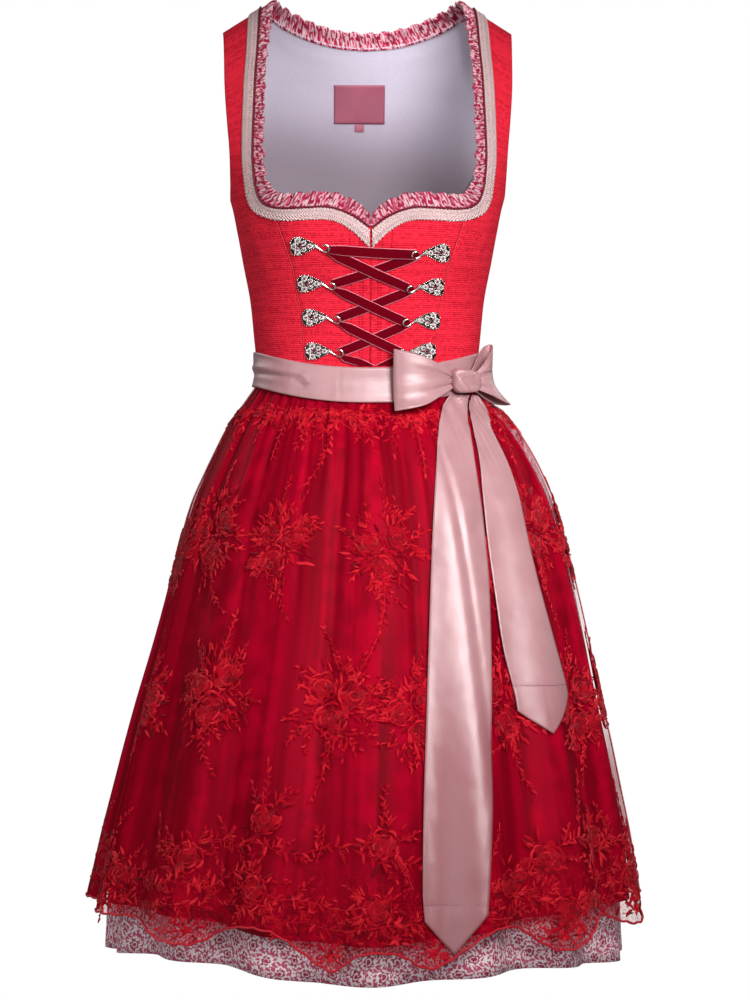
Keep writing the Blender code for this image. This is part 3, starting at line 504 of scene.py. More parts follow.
def tube_grid(path: Array, normals: Array, radii: Array, sides: int) -> Array:
    """Rows of points round a path.

    Args:
        path: Points that the tube follows.
        normals: A direction across the path at each point.
        radii: Radius at each point and side, or at each point.
        sides: Number of sides.

    Returns:
        A grid of points, one row for each path point.
    """
    run = unit(np.gradient(path, axis=0))
    out = unit(normals - run * (normals * run).sum(axis=-1, keepdims=True))
    aside = np.cross(run, out)
    turn = np.linspace(0, 2 * math.pi, sides + 1)
    reach = np.broadcast_to(np.atleast_2d(radii.T).T, (len(path), sides + 1))
    return (
        path[:, None, :] + out[:, None, :] * (np.cos(turn)[None, :] * reach)[..., None]
        + aside[:, None, :] * (np.sin(turn)[None, :] * reach)[..., None]
    )


class Relief:
    """Gathers small grids in flat millimetres, to be laid on a surface as one piece."""

    def __init__(self) -> None:
        """Start with no grids."""
        self.points: list[Array] = []
        self.faces: list[Array] = []
        self.uv: list[Array] = []
        self.tones: list[Array] = []
        self.stuffs: list[Array] = []
        self.count = 0

    def add(self, points: Array, tone: float = 0.5, stuff: int = 0, uv: Array | None = None) -> None:
        """Add one grid.

        Args:
            points: Rows and columns of points: across, down, height.
            tone: Tone of the whole grid, from 0 to 1.
            stuff: Number of its material on the finished piece.
            uv: Place of each point on its thread, in millimetres.
        """
        rows, columns = points.shape[:2]
        if uv is None:
            uv = points[..., :2]
        faces = grid_faces(rows, columns) + self.count
        self.points.append(points.reshape(-1, 3))
        self.faces.append(faces)
        self.uv.append(uv.reshape(-1, 2))
        self.tones.append(np.full(rows * columns, tone))
        self.stuffs.append(np.full(len(faces), stuff))
        self.count += rows * columns

    def tube(self, path: Array, radii: Array, sides: int = 8, tone: float = 0.5, stuff: int = 0) -> None:
        """Add a round wire or cord along a path of across, down and height."""
        up = np.tile(np.array([0.0, 0.0, 1.0]), (len(path), 1))
        run = unit(np.gradient(path, axis=0))
        steep = np.abs(run[:, 2:3]) > 0.9
        up = np.where(steep, np.array([[1.0, 0.0, 0.0]]), up)
        length = run_length(path)
        uv = cord_places(length, sides)
        self.add(tube_grid(path, up, radii, sides), tone, stuff, uv)

    def bead(
        self, centre: tuple[float, float, float], radius: float, tone: float = 0.5, stuff: int = 0
    ) -> None:
        """Add a small ball."""
        around, over = grid(np.linspace(0, 2 * math.pi, 7), np.linspace(0.05, math.pi - 0.05, 5))
        ball = np.stack([np.sin(over) * np.cos(around), np.sin(over) * np.sin(around), np.cos(over)], axis=-1)
        self.add(np.array(centre) + radius * ball, tone, stuff)

    def stone(self, centre: tuple[float, float, float], radius: float, tone: float, stuff: int) -> None:
        """Add a cut stone: a girdle, a slanted crown and a flat table."""
        turn = np.linspace(0, 2 * math.pi, 9)
        rings = ((1.0, -0.35), (1.0, 0.1), (0.62, 0.5), (0.02, 0.52))
        points = np.array(
            [[[math.cos(t) * reach, math.sin(t) * reach, high] for t in turn] for reach, high in rings]
        )
        self.add(np.array(centre) + radius * points, tone, stuff)

    def sew(self, name: str, finish: Material, slot: str, nodes: Sequence[str] = ()) -> None:
        """Make one piece of grids that are in their places already."""
        settle(self.build(name, lambda flat: flat, [finish]), slot, nodes)

    def build(self, name: str, place: Callable[[Array], Array], finishes: Sequence[Material]) -> Item:
        """Lay everything on a surface and make one object of it.

        Args:
            name: Name of the piece.
            place: Turns across, down and height into a point in millimetres.
            finishes: Materials, in the order of their numbers.

        Returns:
            The finished object.
        """
        points = place(np.concatenate(self.points))
        item = make_mesh(
            name, points, np.concatenate(self.faces), np.concatenate(self.uv) * MM, np.concatenate(self.tones)
        )
        for finish in finishes:
            item.data.materials.append(finish)
        item.data.polygons.foreach_set("material_index", np.concatenate(self.stuffs).astype(np.int32))
        return item


class Bench:
    """Places and joins the nodes of one shader tree."""

    def __init__(self, tree: bpy.types.NodeTree) -> None:
        """Work on a tree."""
        self.tree = tree

    def feed(self, socket: Socket, value: object) -> None:
        """Link a socket to another one, or set its own value."""
        if isinstance(value, Socket):
            self.tree.links.new(value, socket)
        else:
            socket.default_value = value

    def put(self, kind: str, settings: dict | None = None, inputs: dict | None = None) -> bpy.types.Node:
        """Place a node.

        Args:
            kind: Its type.
            settings: Values of its properties.
            inputs: Values or sockets for its inputs, by name or number.

        Returns:
            The node.
        """
        node = self.tree.nodes.new(kind)
        for name, value in (settings or {}).items():
            setattr(node, name, value)
        for key, value in (inputs or {}).items():
            self.feed(node.inputs[key], value)
        return node

    def maths(self, operation: str, *values: Value) -> Socket:
        """Combine numbers with a maths node."""
        return self.put("ShaderNodeMath", {"operation": operation}, dict(enumerate(values))).outputs[0]

    def plus(self, first: Value, second: Value) -> Socket:
        """Add two numbers."""
        return self.maths("ADD", first, second)

    def minus(self, first: Value, second: Value) -> Socket:
        """Take the second number from the first."""
        return self.maths("SUBTRACT", first, second)

    def times(self, first: Value, second: Value) -> Socket:
        """Multiply two numbers."""
        return self.maths("MULTIPLY", first, second)

    def over(self, first: Value, second: Value) -> Socket:
        """Divide the first number by the second."""
        return self.maths("DIVIDE", first, second)

    def line(self, value: Value, slope: Value, start: Value) -> Socket:
        """Multiply a number by a slope and add a start."""
        return self.maths("MULTIPLY_ADD", value, slope, start)

    def size(self, value: Value) -> Socket:
        """Leave out a number's sign."""
        return self.maths("ABSOLUTE", value)

    def most(self, first: Value, second: Value) -> Socket:
        """Take the larger of two numbers."""
        return self.maths("MAXIMUM", first, second)

    def wave(self, value: Value, period: Value, phase: Value = 0.0) -> Socket:
        """Sine of a distance with a period, from -1 to 1."""
        turns = self.over(value, period)
        angle = self.line(turns, 2 * math.pi, phase)
        return self.maths("SINE", angle)

    def step(self, value: Value, low: float, high: float) -> Socket:
        """Soft step from 0 at low to 1 at high."""
        node = self.put(
            "ShaderNodeMapRange", {"interpolation_type": "SMOOTHSTEP"},
            {"Value": value, "From Min": low, "From Max": high}
        )
        return node.outputs["Result"]

    def blend(self, factor: Value, first: object, second: object) -> Socket:
        """Blend two colours."""
        node = self.put("ShaderNodeMix", {"data_type": "RGBA"})
        for number, value in ((0, factor), (6, first), (7, second)):
            if isinstance(value, tuple):
                value = (*value, 1.0)
            self.feed(node.inputs[number], value)
        return node.outputs[2]

    def split(self, vector: Socket) -> tuple[Socket, Socket]:
        """Take a vector's first two parts."""
        node = self.put("ShaderNodeSeparateXYZ", inputs={0: vector})
        return node.outputs[0], node.outputs[1]

    def join(self, x: Value, y: Value, z: Value = 0.0) -> Socket:
        """Make a vector of numbers."""
        return self.put("ShaderNodeCombineXYZ", inputs={0: x, 1: y, 2: z}).outputs[0]

    def noise(self, x: Value, y: Value, across: float, down: float, detail: float = 2.0) -> Socket:
        """Noise from 0 to 1, with its grain across and down in millimetres."""
        where = self.join(self.over(x, across), self.over(y, down))
        given = {"Vector": where, "Scale": 1.0, "Detail": detail}
        return self.put("ShaderNodeTexNoise", {"noise_dimensions": "2D"}, given).outputs[0]

    def bump(
        self, height: Value, distance: float, strength: float = 1.0, under: Socket | None = None
    ) -> Socket:
        """Turn a height into a normal, with its full depth in metres, over another normal if given."""
        node = self.put(
            "ShaderNodeBump", inputs={"Strength": strength, "Distance": distance, "Height": height}
        )
        if under is not None:
            self.feed(node.inputs["Normal"], under)
        return node.outputs["Normal"]


class EffectShelf:
    """Builds each shared shader effect once, as a node group, and places it in materials."""

    def __init__(self) -> None:
        """Start with no groups made."""
        self.made: dict[Effect, bpy.types.NodeTree] = {}

    def place(self, bench: Bench, effect: Effect, inputs: dict[str, object]) -> dict[str, Socket]:
        """Place an effect in a material.

        Args:
            bench: The material's tree.
            effect: Which effect.
            inputs: Values or sockets for the group's inputs.

        Returns:
            The group's outputs by name.
        """
        if effect not in self.made:
            self.made[effect] = self.build(effect)
        node = bench.put("ShaderNodeGroup", {"node_tree": self.made[effect]}, inputs)
        return {socket.name: socket for socket in node.outputs}

    def build(self, effect: Effect) -> bpy.types.NodeTree:
        """Build one effect's group."""
        makers = {
            Effect.WEAVE: (self.weave, {"Cloth": None, "Thread": 0.8}, ("Height", "Shade")),
            Effect.RIBS: (self.ribs, {"Cloth": None, "Rib": 2.6}, ("Height", "Slub", "Shade")),
            Effect.FOLDS: (self.folds, {"Cloth": None, "Width": 30.0}, ("Shade",)),
            Effect.TWILL: (self.twill, {"Cloth": None, "Pitch": 0.5}, ("Height", "Shade")),
            Effect.PRINT: (
                self.small_print, {"Cloth": None, "Width": 27.0, "Length": 29.0}, ("Motif", "Flower")
            ),
            Effect.STITCH: (
                self.stitch, {"Across": 0.0, "Along": 0.0, "Pitch": 3.0, "Width": 0.5}, ("Mask",)
            ),
            Effect.NET: (self.net, {"Cloth": None, "Pitch": 1.6}, ("Mask",)),
            Effect.THREAD: (self.thread, {"Cloth": None, "Pitch": 0.7}, ("Height", "Shade"))
        }
        maker, inputs, outputs = makers[effect]
        tree = bpy.data.node_groups.new(effect.value, "ShaderNodeTree")
        for name, value in inputs.items():
            kind = "NodeSocketVector" if value is None else "NodeSocketFloat"
            socket = tree.interface.new_socket(name=name, in_out="INPUT", socket_type=kind)
            if value is not None:
                socket.default_value = value
        for name in outputs:
            tree.interface.new_socket(name=name, in_out="OUTPUT", socket_type="NodeSocketFloat")
        bench = Bench(tree)
        inlet = bench.put("NodeGroupInput")
        results = maker(bench, {socket.name: socket for socket in inlet.outputs if socket.name})
        bench.put("NodeGroupOutput", inputs=dict(zip(outputs, results)))
        return tree

    @staticmethod
    def weave(bench: Bench, given: dict[str, Socket]) -> tuple[Socket, ...]:
        """Plain weave: raised crossings of thread, and uneven shade."""
        x, y = bench.split(given["Cloth"])
        crossing = bench.times(bench.wave(x, given["Thread"]), bench.wave(y, given["Thread"]))
        height = bench.line(crossing, 0.5, 0.5)
        uneven = bench.noise(x, y, 3.0, 3.0)
        broad = bench.noise(x, y, 40.0, 40.0, 1.0)
        shade = bench.plus(bench.times(uneven, 0.5), bench.times(broad, 0.5))
        return height, shade

    @staticmethod
    def ribs(bench: Bench, given: dict[str, Socket]) -> tuple[Socket, ...]:
        """Level ribs, dark dashes in the grooves between them, and a shade that is partly random and partly
        painted shade in the grooves.
        """
        x, y = bench.split(given["Cloth"])
        slow = bench.noise(x, y, 45.0, 9.0)
        turns = bench.line(slow, 0.8, bench.over(y, given["Rib"]))
        row = bench.maths("FLOOR", turns)
        aside = bench.size(bench.minus(bench.minus(turns, row), 0.5))
        groove = bench.step(aside, 0.24, 0.5)
        chosen = bench.noise(bench.over(x, 60.0), bench.times(row, 5.3), 1.0, 1.0, 0.0)
        dashes = bench.noise(x, bench.times(row, 7.3), 2.6, 1.0, 1.0)
        dark = bench.times(bench.step(dashes, 0.42, 0.52), bench.step(chosen, 0.4, 0.54))
        slub = bench.times(dark, bench.step(aside, 0.08, 0.3))
        fine = bench.noise(x, y, 6.0, 0.7, 3.0)
        height = bench.line(groove, -0.8, fine)
        # Shade: random unevenness, plus painted shade in the grooves between the ribs
        shade = bench.line(groove, 0.24, bench.times(fine, 0.8))
        return height, slub, shade

    @staticmethod
    def twill(bench: Bench, given: dict[str, Socket]) -> tuple[Socket, ...]:
        """Fine slanted lines of satin, and a slow change of shade."""
        x, y = bench.split(given["Cloth"])
        slant = bench.plus(x, bench.times(y, 0.6))
        uneven = bench.noise(x, y, 0.6, 12.0, 1.0)
        height = bench.line(bench.wave(slant, given["Pitch"]), 0.3, uneven)
        broad = bench.noise(x, y, 30.0, 30.0, 2.0)
        return height, broad

    @staticmethod
    def folds(bench: Bench, given: dict[str, Socket]) -> tuple[Socket, ...]:
        """Soft upright streaks of painted shade, standing in for the shade of thin cloth hanging in folds."""
        x, y = bench.split(given["Cloth"])
        wide = bench.noise(bench.over(x, given["Width"]), y, 1.0, 460.0, 1.0)
        narrow = bench.noise(bench.over(x, given["Width"]), y, 0.3, 240.0, 1.0)
        streak = bench.line(narrow, 0.25, bench.times(wide, 0.75))
        return (bench.step(streak, 0.62, 0.38),)

    @staticmethod
    def small_print(bench: Bench, given: dict[str, Socket]) -> tuple[Socket, ...]:
        """Rosettes in rings of leaves, set in offset rows, with loose leaves between them."""
        x, y = bench.split(given["Cloth"])
        bent_x = bench.line(bench.noise(x, y, 17.0, 15.0, 1.0), 9.0, x)
        bent_y = bench.line(bench.noise(y, x, 16.0, 18.0, 1.0), 9.0, y)
        motif = bench.step(bench.noise(x, y, 1.9, 2.2, 0.0), 0.59, 0.65)
        flower = None
        for shift in (0.0, 0.5):
            sides = []
            for place, size in ((bent_x, given["Width"]), (bent_y, given["Length"])):
                part = bench.maths("FRACT", bench.plus(bench.over(place, size), shift))
                sides.append(bench.times(bench.minus(part, 0.5), size))
            right, low = sides
            far = bench.maths("SQRT", bench.line(right, right, bench.times(low, low)))
            turn = bench.maths("ARCTAN2", low, right)
            petals = bench.line(bench.maths("SINE", bench.times(turn, 6.0)), 0.8, 5.0)
            disc = bench.step(bench.minus(petals, far), -0.3, 0.3)
            pale = bench.step(bench.size(bench.minus(far, 2.7)), 0.3, 0.8)
            leaves = bench.maths("SINE", bench.line(far, 0.9, bench.times(turn, 13.0)))
            reach = bench.line(leaves, 1.1, 0.9)
            aside = bench.size(bench.minus(far, 9.4))
            ring = bench.step(bench.minus(reach, aside), -0.35, 0.35)
            motif = bench.most(motif, ring)
            bloom = bench.times(disc, pale)
            flower = bloom if flower is None else bench.most(flower, bloom)
        return motif, flower

    @staticmethod
    def stitch(bench: Bench, given: dict[str, Socket]) -> tuple[Socket, ...]:
        """One row of machine stitches along a line."""
        near = bench.over(bench.size(given["Across"]), given["Width"])
        line = bench.minus(1.0, bench.step(near, 0.4, 1.0))
        dash = bench.step(bench.wave(given["Along"], given["Pitch"]), -0.6, 0.0)
        return (bench.times(line, dash),)

    @staticmethod
    def net(bench: Bench, given: dict[str, Socket]) -> tuple[Socket, ...]:
        """Threads of a fine six-sided net, 1 on a thread and 0 in a hole."""
        x, y = bench.split(given["Cloth"])
        pitch = given["Pitch"]
        total = None
        for turn in (0.0, 60.0, 120.0):
            across = bench.times(x, math.cos(math.radians(turn)))
            place = bench.line(y, math.sin(math.radians(turn)), across)
            wave = bench.wave(place, pitch)
            total = wave if total is None else bench.plus(total, wave)
        return (bench.step(total, -0.6, 0.9),)

    @staticmethod
    def thread(bench: Bench, given: dict[str, Socket]) -> tuple[Socket, ...]:
        """Parallel threads of satin stitch across a band."""
        x, y = bench.split(given["Cloth"])
        slant = bench.line(y, 0.35, x)
        height = bench.line(bench.wave(slant, given["Pitch"]), 0.5, 0.5)
        uneven = bench.noise(slant, y, 0.5, 4.0, 1.0)
        return height, uneven


SHELF = EffectShelf()


@dataclass(frozen=True)
class Finish:
    """Base of every finish: a named material with one Principled shader.

    Attributes:
        name: Name of the material.
        colour: Main colour.
        shade: Darker colour, for uneven places and, in some finishes, painted shade in hollows, grooves and
            folds.
        roughness: Roughness of the surface.
        specular: Strength of its plain gloss.
    """

    name: str
    colour: Colour
    shade: Colour
    roughness: float = 0.75
    specular: float = 0.4

    def start(self) -> tuple[Material, Bench, bpy.types.Node, Socket]:
        """Make the material and set the shader's constant sockets.

        Returns:
            The material, its bench, its shader and the place on the cloth in millimetres.
        """
        material = bpy.data.materials.new(self.name)
        material.use_nodes = True
        bench = Bench(material.node_tree)
        shader = material.node_tree.nodes["Principled BSDF"]
        shader.inputs["Roughness"].default_value = self.roughness
        shader.inputs["Specular IOR Level"].default_value = self.specular
        where = bench.put("ShaderNodeUVMap", {"uv_map": CLOTH_MAP}).outputs[0]
        scaled = bench.put("ShaderNodeVectorMath", {"operation": "SCALE"}, {0: where, "Scale": 1 / MM})
        return material, bench, shader, scaled.outputs[0]

    def close(self, bench: Bench, shader: bpy.types.Node, colour: object, normal: object) -> None:
        """Link the colour and the normal to the shader."""
        bench.feed(shader.inputs["Base Color"], colour)
        bench.feed(shader.inputs["Normal"], normal)


@dataclass(frozen=True)
class LinenFinish(Finish):
    """Red ribbed linen with dark slubs, painted shade in the grooves between its ribs, and stitched channels
    beside the centre front.
    """

    slub: Colour = (0.3, 0.0, 0.012)
    channels: tuple[float, ...] = (4.7, 6.6, 13.4)
    rib: float = 2.0

    def make(self) -> Material:
        """Build the material."""
        material, bench, shader, cloth = self.start()
        ribs = SHELF.place(bench, Effect.RIBS, {"Cloth": cloth, "Rib": self.rib})
        # Darker where the ribs' shade is high: partly random, partly painted shade in the grooves
        colour = bench.blend(bench.step(ribs["Shade"], 0.28, 0.72), self.colour, self.shade)
        colour = bench.blend(bench.times(ribs["Slub"], 0.62), colour, self.slub)
        x, y = bench.split(cloth)
        beside = bench.size(x)
        rows = None
        for channel in self.channels:
            across = bench.minus(beside, channel)
            place = {"Across": across, "Along": y, "Pitch": 2.6, "Width": 0.9}
            row = SHELF.place(bench, Effect.STITCH, place)["Mask"]
            rows = row if rows is None else bench.most(rows, row)
        colour = bench.blend(bench.times(rows, 0.6), colour, self.slub)
        height = bench.minus(ribs["Height"], bench.times(rows, 0.8))
        self.close(bench, shader, colour, bench.bump(height, 0.00035, 0.7))
        return material


@dataclass(frozen=True)
class LiningFinish(Finish):
    """Lining cotton, with painted shade down in the hollow of the bodice."""

    # Colour of the painted shade down in the hollow
    hollow_shade: Colour = (0.29, 0.237, 0.28)
    thread: float = 0.9
    depth: float = 0.00015
    # The painted shade starts and is full where the drop and the slanted place round the body add up to these
    hollow_shade_start: float = 150.0
    hollow_shade_full: float = 235.0
    hollow_shade_slant: float = 0.2

    def make(self) -> Material:
        """Build the material."""
        material, bench, shader, cloth = self.start()
        x, y = bench.split(cloth)
        weave = SHELF.place(bench, Effect.WEAVE, {"Cloth": cloth, "Thread": self.thread})
        colour = bench.blend(bench.step(weave["Shade"], 0.3, 0.7), self.shade, self.colour)
        # Painted shade: darker down in the hollow and, by the slant, further round the body
        low = bench.step(bench.line(x, self.hollow_shade_slant, y), self.hollow_shade_start, self.hollow_shade_full)
        colour = bench.blend(low, colour, self.hollow_shade)
        self.close(bench, shader, colour, bench.bump(weave["Height"], self.depth, 0.6))
        return material


@dataclass(frozen=True)
class SatinFinish(Finish):
    """Satin with a soft gloss along its folds, and painted shade in streaks or towards its foot where asked.
    """

    pitch: float = 0.5
    depth: float = 0.00006
    anisotropy: float = 0.3
    # Width of the painted streaks of fold shade, or 0 for none
    fold: float = 0.0
    rumple: float = 0.0
    # Painted shade towards the foot of a long hanging piece: its colour, and the drops where it starts and is
    # full
    low: Colour | None = None
    foot_shade_start: float = 640.0
    foot_shade_full: float = 760.0
    # Grain of the rumpled surface, across and down
    rumple_grain: tuple[float, float] = (19.0, 34.0)

    def make(self) -> Material:
        """Build the material."""
        material, bench, shader, cloth = self.start()
        shader.inputs["Anisotropic"].default_value = self.anisotropy
        twill = SHELF.place(bench, Effect.TWILL, {"Cloth": cloth, "Pitch": self.pitch})
        colour = bench.blend(bench.step(twill["Shade"], 0.25, 0.75), self.shade, self.colour)
        # Painted shade: the colour turns darker towards the foot
        if self.low:
            x, y = bench.split(cloth)
            colour = bench.blend(bench.step(y, self.foot_shade_start, self.foot_shade_full), colour, self.low)
        # Painted streaks of fold shade
        if self.fold:
            colour = bench.blend(
                SHELF.place(bench, Effect.FOLDS, {"Cloth": cloth, "Width": self.fold})["Shade"], colour,
                self.shade
            )
        rough = bench.line(twill["Shade"], 0.12, self.roughness - 0.06)
        bench.feed(shader.inputs["Roughness"], rough)
        normal = bench.bump(twill["Height"], self.depth, 0.5)
        if self.rumple:
            x, y = bench.split(cloth)
            normal = bench.bump(bench.noise(x, y, *self.rumple_grain, 1.0), self.rumple, 1.0, normal)
        self.close(bench, shader, colour, normal)
        return material


@dataclass(frozen=True)
class PrintFinish(Finish):
    """Fine cotton with a small printed trellis of garlands and rosettes."""

    motif: Colour = (0.5, 0.03, 0.11)
    flower: Colour = (0.36, 0.006, 0.05)
    width: float = 27.0
    length: float = 29.0
    fill: float = 0.92

    def make(self) -> Material:
        """Build the material."""
        material, bench, shader, cloth = self.start()
        given = {"Cloth": cloth, "Width": self.width, "Length": self.length}
        printed = SHELF.place(bench, Effect.PRINT, given)
        weave = SHELF.place(bench, Effect.WEAVE, {"Cloth": cloth, "Thread": 0.6})
        colour = bench.blend(bench.step(weave["Shade"], 0.3, 0.7), self.shade, self.colour)
        colour = bench.blend(bench.times(printed["Motif"], self.fill), colour, self.motif)
        colour = bench.blend(bench.times(printed["Flower"], self.fill), colour, self.flower)
        self.close(bench, shader, colour, bench.bump(weave["Height"], 0.00012, 0.6))
        return material


@dataclass(frozen=True)
class RuffleFinish(Finish):
    """Printed ruffle cotton, whose figures the gathers break into patches and streaks."""

    figure: Colour = (0.33, 0.01, 0.05)
    light: Colour = (0.66, 0.46, 0.5)

    def make(self) -> Material:
        """Build the material."""
        material, bench, shader, cloth = self.start()
        x, y = bench.split(cloth)
        slant = bench.line(y, 0.6, x)
        weave = SHELF.place(bench, Effect.WEAVE, {"Cloth": cloth, "Thread": 0.6})
        colour = bench.blend(
            bench.step(bench.noise(slant, y, 5.5, 9.0, 1.0), 0.42, 0.56), self.shade, self.colour
        )
        colour = bench.blend(bench.step(bench.noise(x, slant, 7.0, 4.2, 1.0), 0.46, 0.56), colour, self.light)
        colour = bench.blend(
            bench.step(bench.noise(y, slant, 5.4, 3.6, 1.0), 0.47, 0.55), colour, self.figure
        )
        self.close(bench, shader, colour, bench.bump(weave["Height"], 0.00012, 0.6))
        return material


@dataclass(frozen=True)
class NetFinish(Finish):
    """Fine net, seen through between its threads."""

    hole: float = 0.12
    thread: float = 0.55
    pitch: float = 1.5
    figure: Colour = (0.55, 0.006, 0.02)
    # Width of the painted streaks of fold shade
    fold: float = 26.0
    # Beyond this place at the wearer's right, the net closes up on its way down between these lengths
    side: float = 310.0
    side_fade: float = 50
    side_down: tuple[float, float] = (100.0, 170.0)
    # Beyond this place at the wearer's left, it gets sheerer on its way up between these lengths
    sheer: float = 322.0
    sheer_fade: float = 20
    sheer_down: tuple[float, float] = (420.0, 330.0)
    sheer_loss: float = 0.72
    # Stitched curls of the border: length down the net where they start, and size and shift of two sets
    border: float = 452.0
    border_fade: float = 60
    curls: tuple[tuple[float, float], ...] = ((7.0, 0.0), (4.2, 31.0))

    def make(self) -> Material:
        """Build the material."""
        material, bench, shader, cloth = self.start()
        net = SHELF.place(bench, Effect.NET, {"Cloth": cloth, "Pitch": self.pitch})
        x, y = bench.split(cloth)
        # Painted streaks of fold shade over the net's colour
        folds = SHELF.place(bench, Effect.FOLDS, {"Cloth": cloth, "Width": self.fold})["Shade"]
        colour = bench.blend(folds, self.colour, self.shade)
        alpha = bench.line(net["Mask"], self.thread, self.hole)
        lines = None
        for across, shift in self.curls:
            curls = bench.noise(bench.plus(x, shift), y, across, across, 1.0)
            line = bench.step(bench.size(bench.minus(curls, 0.5)), 0.028, 0.012)
            lines = line if lines is None else bench.most(lines, line)
        low = bench.step(y, self.border, self.border + self.border_fade)
        lines = bench.times(lines, bench.times(low, 0.8))
        colour = bench.blend(lines, colour, self.figure)
        thin = bench.times(
            bench.step(x, self.sheer, self.sheer + self.sheer_fade), bench.step(y, *self.sheer_down)
        )
        alpha = bench.times(alpha, bench.line(thin, -self.sheer_loss, 1.0))
        beside = bench.times(
            bench.step(x, -self.side, -self.side - self.side_fade), bench.step(y, *self.side_down)
        )
        alpha = bench.most(bench.most(alpha, lines), beside)
        bench.feed(shader.inputs["Alpha"], alpha)
        self.close(bench, shader, colour, bench.bump(net["Mask"], 0.00015, 0.5))
        return material


@dataclass(frozen=True)
class ThreadFinish(Finish):
    """Glossy embroidery thread whose tone changes at random from motif to motif; the bright end of its tones
    is a painted highlight.
    """

    # Colour of the brightest tones: a painted highlight
    bright: Colour = (0.9, 0.022, 0.038)
    pitch: float = 0.7

    def make(self) -> Material:
        """Build the material."""
        material, bench, shader, cloth = self.start()
        thread = SHELF.place(bench, Effect.THREAD, {"Cloth": cloth, "Pitch": self.pitch})
        tone = bench.put("ShaderNodeAttribute", {"attribute_name": TONE}).outputs["Fac"]
        colour = bench.blend(bench.step(tone, 0.0, 0.4), self.shade, self.colour)
        # Tones above the middle turn to the painted highlight colour
        colour = bench.blend(bench.step(tone, 0.55, 0.92), colour, self.bright)
        dark = bench.times(bench.step(thread["Shade"], 0.65, 0.35), 0.5)
        colour = bench.blend(dark, colour, self.shade)
        self.close(bench, shader, colour, bench.bump(thread["Height"], 0.0003, 0.8))
        return material


@dataclass(frozen=True)
class CrochetFinish(Finish):
    """Crocheted cotton braid with patchy painted shade in the hollows between its knots."""

    # Colour of the painted shade in the hollows between the knots
    speck_shade: Colour = (0.36, 0.22, 0.24)
    knot: float = 2.6
    width: float = 9.5
    column: float = 2.0

    def make(self) -> Material:
        """Build the material."""
        material, bench, shader, cloth = self.start()
        x, y = bench.split(cloth)
        middle = bench.size(bench.minus(y, self.width / 2))
        slant = bench.line(middle, 1.1, x)
        knots = bench.wave(slant, self.knot)
        height = bench.line(knots, 0.5, bench.noise(x, y, 1.1, 0.9, 1.0))
        column = bench.step(bench.size(bench.minus(middle, self.column)), 1.5, 0.6)
        # Painted shade in the hollows between the knots, broken into patches
        hollow_shade = bench.times(bench.step(knots, 0.1, -0.6), column)
        patchy = bench.step(bench.noise(x, y, 2.2, 1.3, 1.0), 0.3, 0.55)
        colour = bench.blend(bench.noise(x, y, 2.0, 2.0, 1.0), self.shade, self.colour)
        colour = bench.blend(bench.times(bench.times(hollow_shade, patchy), 0.6), colour, self.speck_shade)
        self.close(bench, shader, colour, bench.bump(height, 0.0009, 1.0))
        return material


@dataclass(frozen=True)
class MetalFinish(Finish):
    """Old silver, darkened in its hollows."""

    def make(self) -> Material:
        """Build the material."""
        material, bench, shader, cloth = self.start()
        shader.inputs["Metallic"].default_value = 1.0
        x, y = bench.split(cloth)
        tarnish = bench.noise(x, y, 1.2, 1.2, 3.0)
        tone = bench.put("ShaderNodeAttribute", {"attribute_name": TONE}).outputs["Fac"]
        bright = bench.times(bench.step(tarnish, 0.3, 0.6), bench.step(tone, 0.0, 0.6))
        colour = bench.blend(bright, self.shade, self.colour)
        self.close(bench, shader, colour, bench.bump(tarnish, 0.0001, 0.4))
        return material


@dataclass(frozen=True)
class StoneFinish(Finish):
    """Cut glass stones with a lacquered face, and painted glints: fine light and dark patches of colour."""

    def make(self) -> Material:
        """Build the material."""
        material, bench, shader, cloth = self.start()
        shader.inputs["Coat Weight"].default_value = 1.0
        shader.inputs["Coat Roughness"].default_value = 0.03
        x, y = bench.split(cloth)
        # A fine noise paints glints: light and dark patches on the stones, also used as bump
        painted_glint = bench.noise(x, y, 0.9, 0.9, 1.0)
        colour = bench.blend(bench.step(painted_glint, 0.4, 0.6), self.shade, self.colour)
        self.close(bench, shader, colour, bench.bump(painted_glint, 0.0002, 0.5))
        return material


@dataclass(frozen=True)
class VelvetFinish(Finish):
    """Velvet pile between two light woven edges."""

    edge: Colour = (0.78, 0.22, 0.29)
    half_width: float = 4.9

    def make(self) -> Material:
        """Build the material."""
        material, bench, shader, cloth = self.start()
        x, y = bench.split(cloth)
        pile = bench.noise(x, y, 1.2, 0.5, 3.0)
        colour = bench.blend(bench.step(pile, 0.3, 0.7), self.shade, self.colour)
        rim = bench.step(bench.size(y), self.half_width - 0.7, self.half_width - 0.45)
        colour = bench.blend(rim, colour, self.edge)
        self.close(bench, shader, colour, bench.bump(pile, 0.0003, 0.8))
        return material


@dataclass(frozen=True)
class CordFinish(Finish):
    """Twisted cord, with painted shade in the grooves between its strands."""

    lay: float = 2.2

    def make(self) -> Material:
        """Build the material."""
        material, bench, shader, cloth = self.start()
        x, y = bench.split(cloth)
        twist = bench.wave(x, self.lay, bench.times(y, 1.6))
        # Painted shade in the grooves of the twist
        colour = bench.blend(bench.step(twist, -0.8, 0.6), self.shade, self.colour)
        self.close(bench, shader, colour, bench.bump(twist, 0.0003, 0.7))
        return material


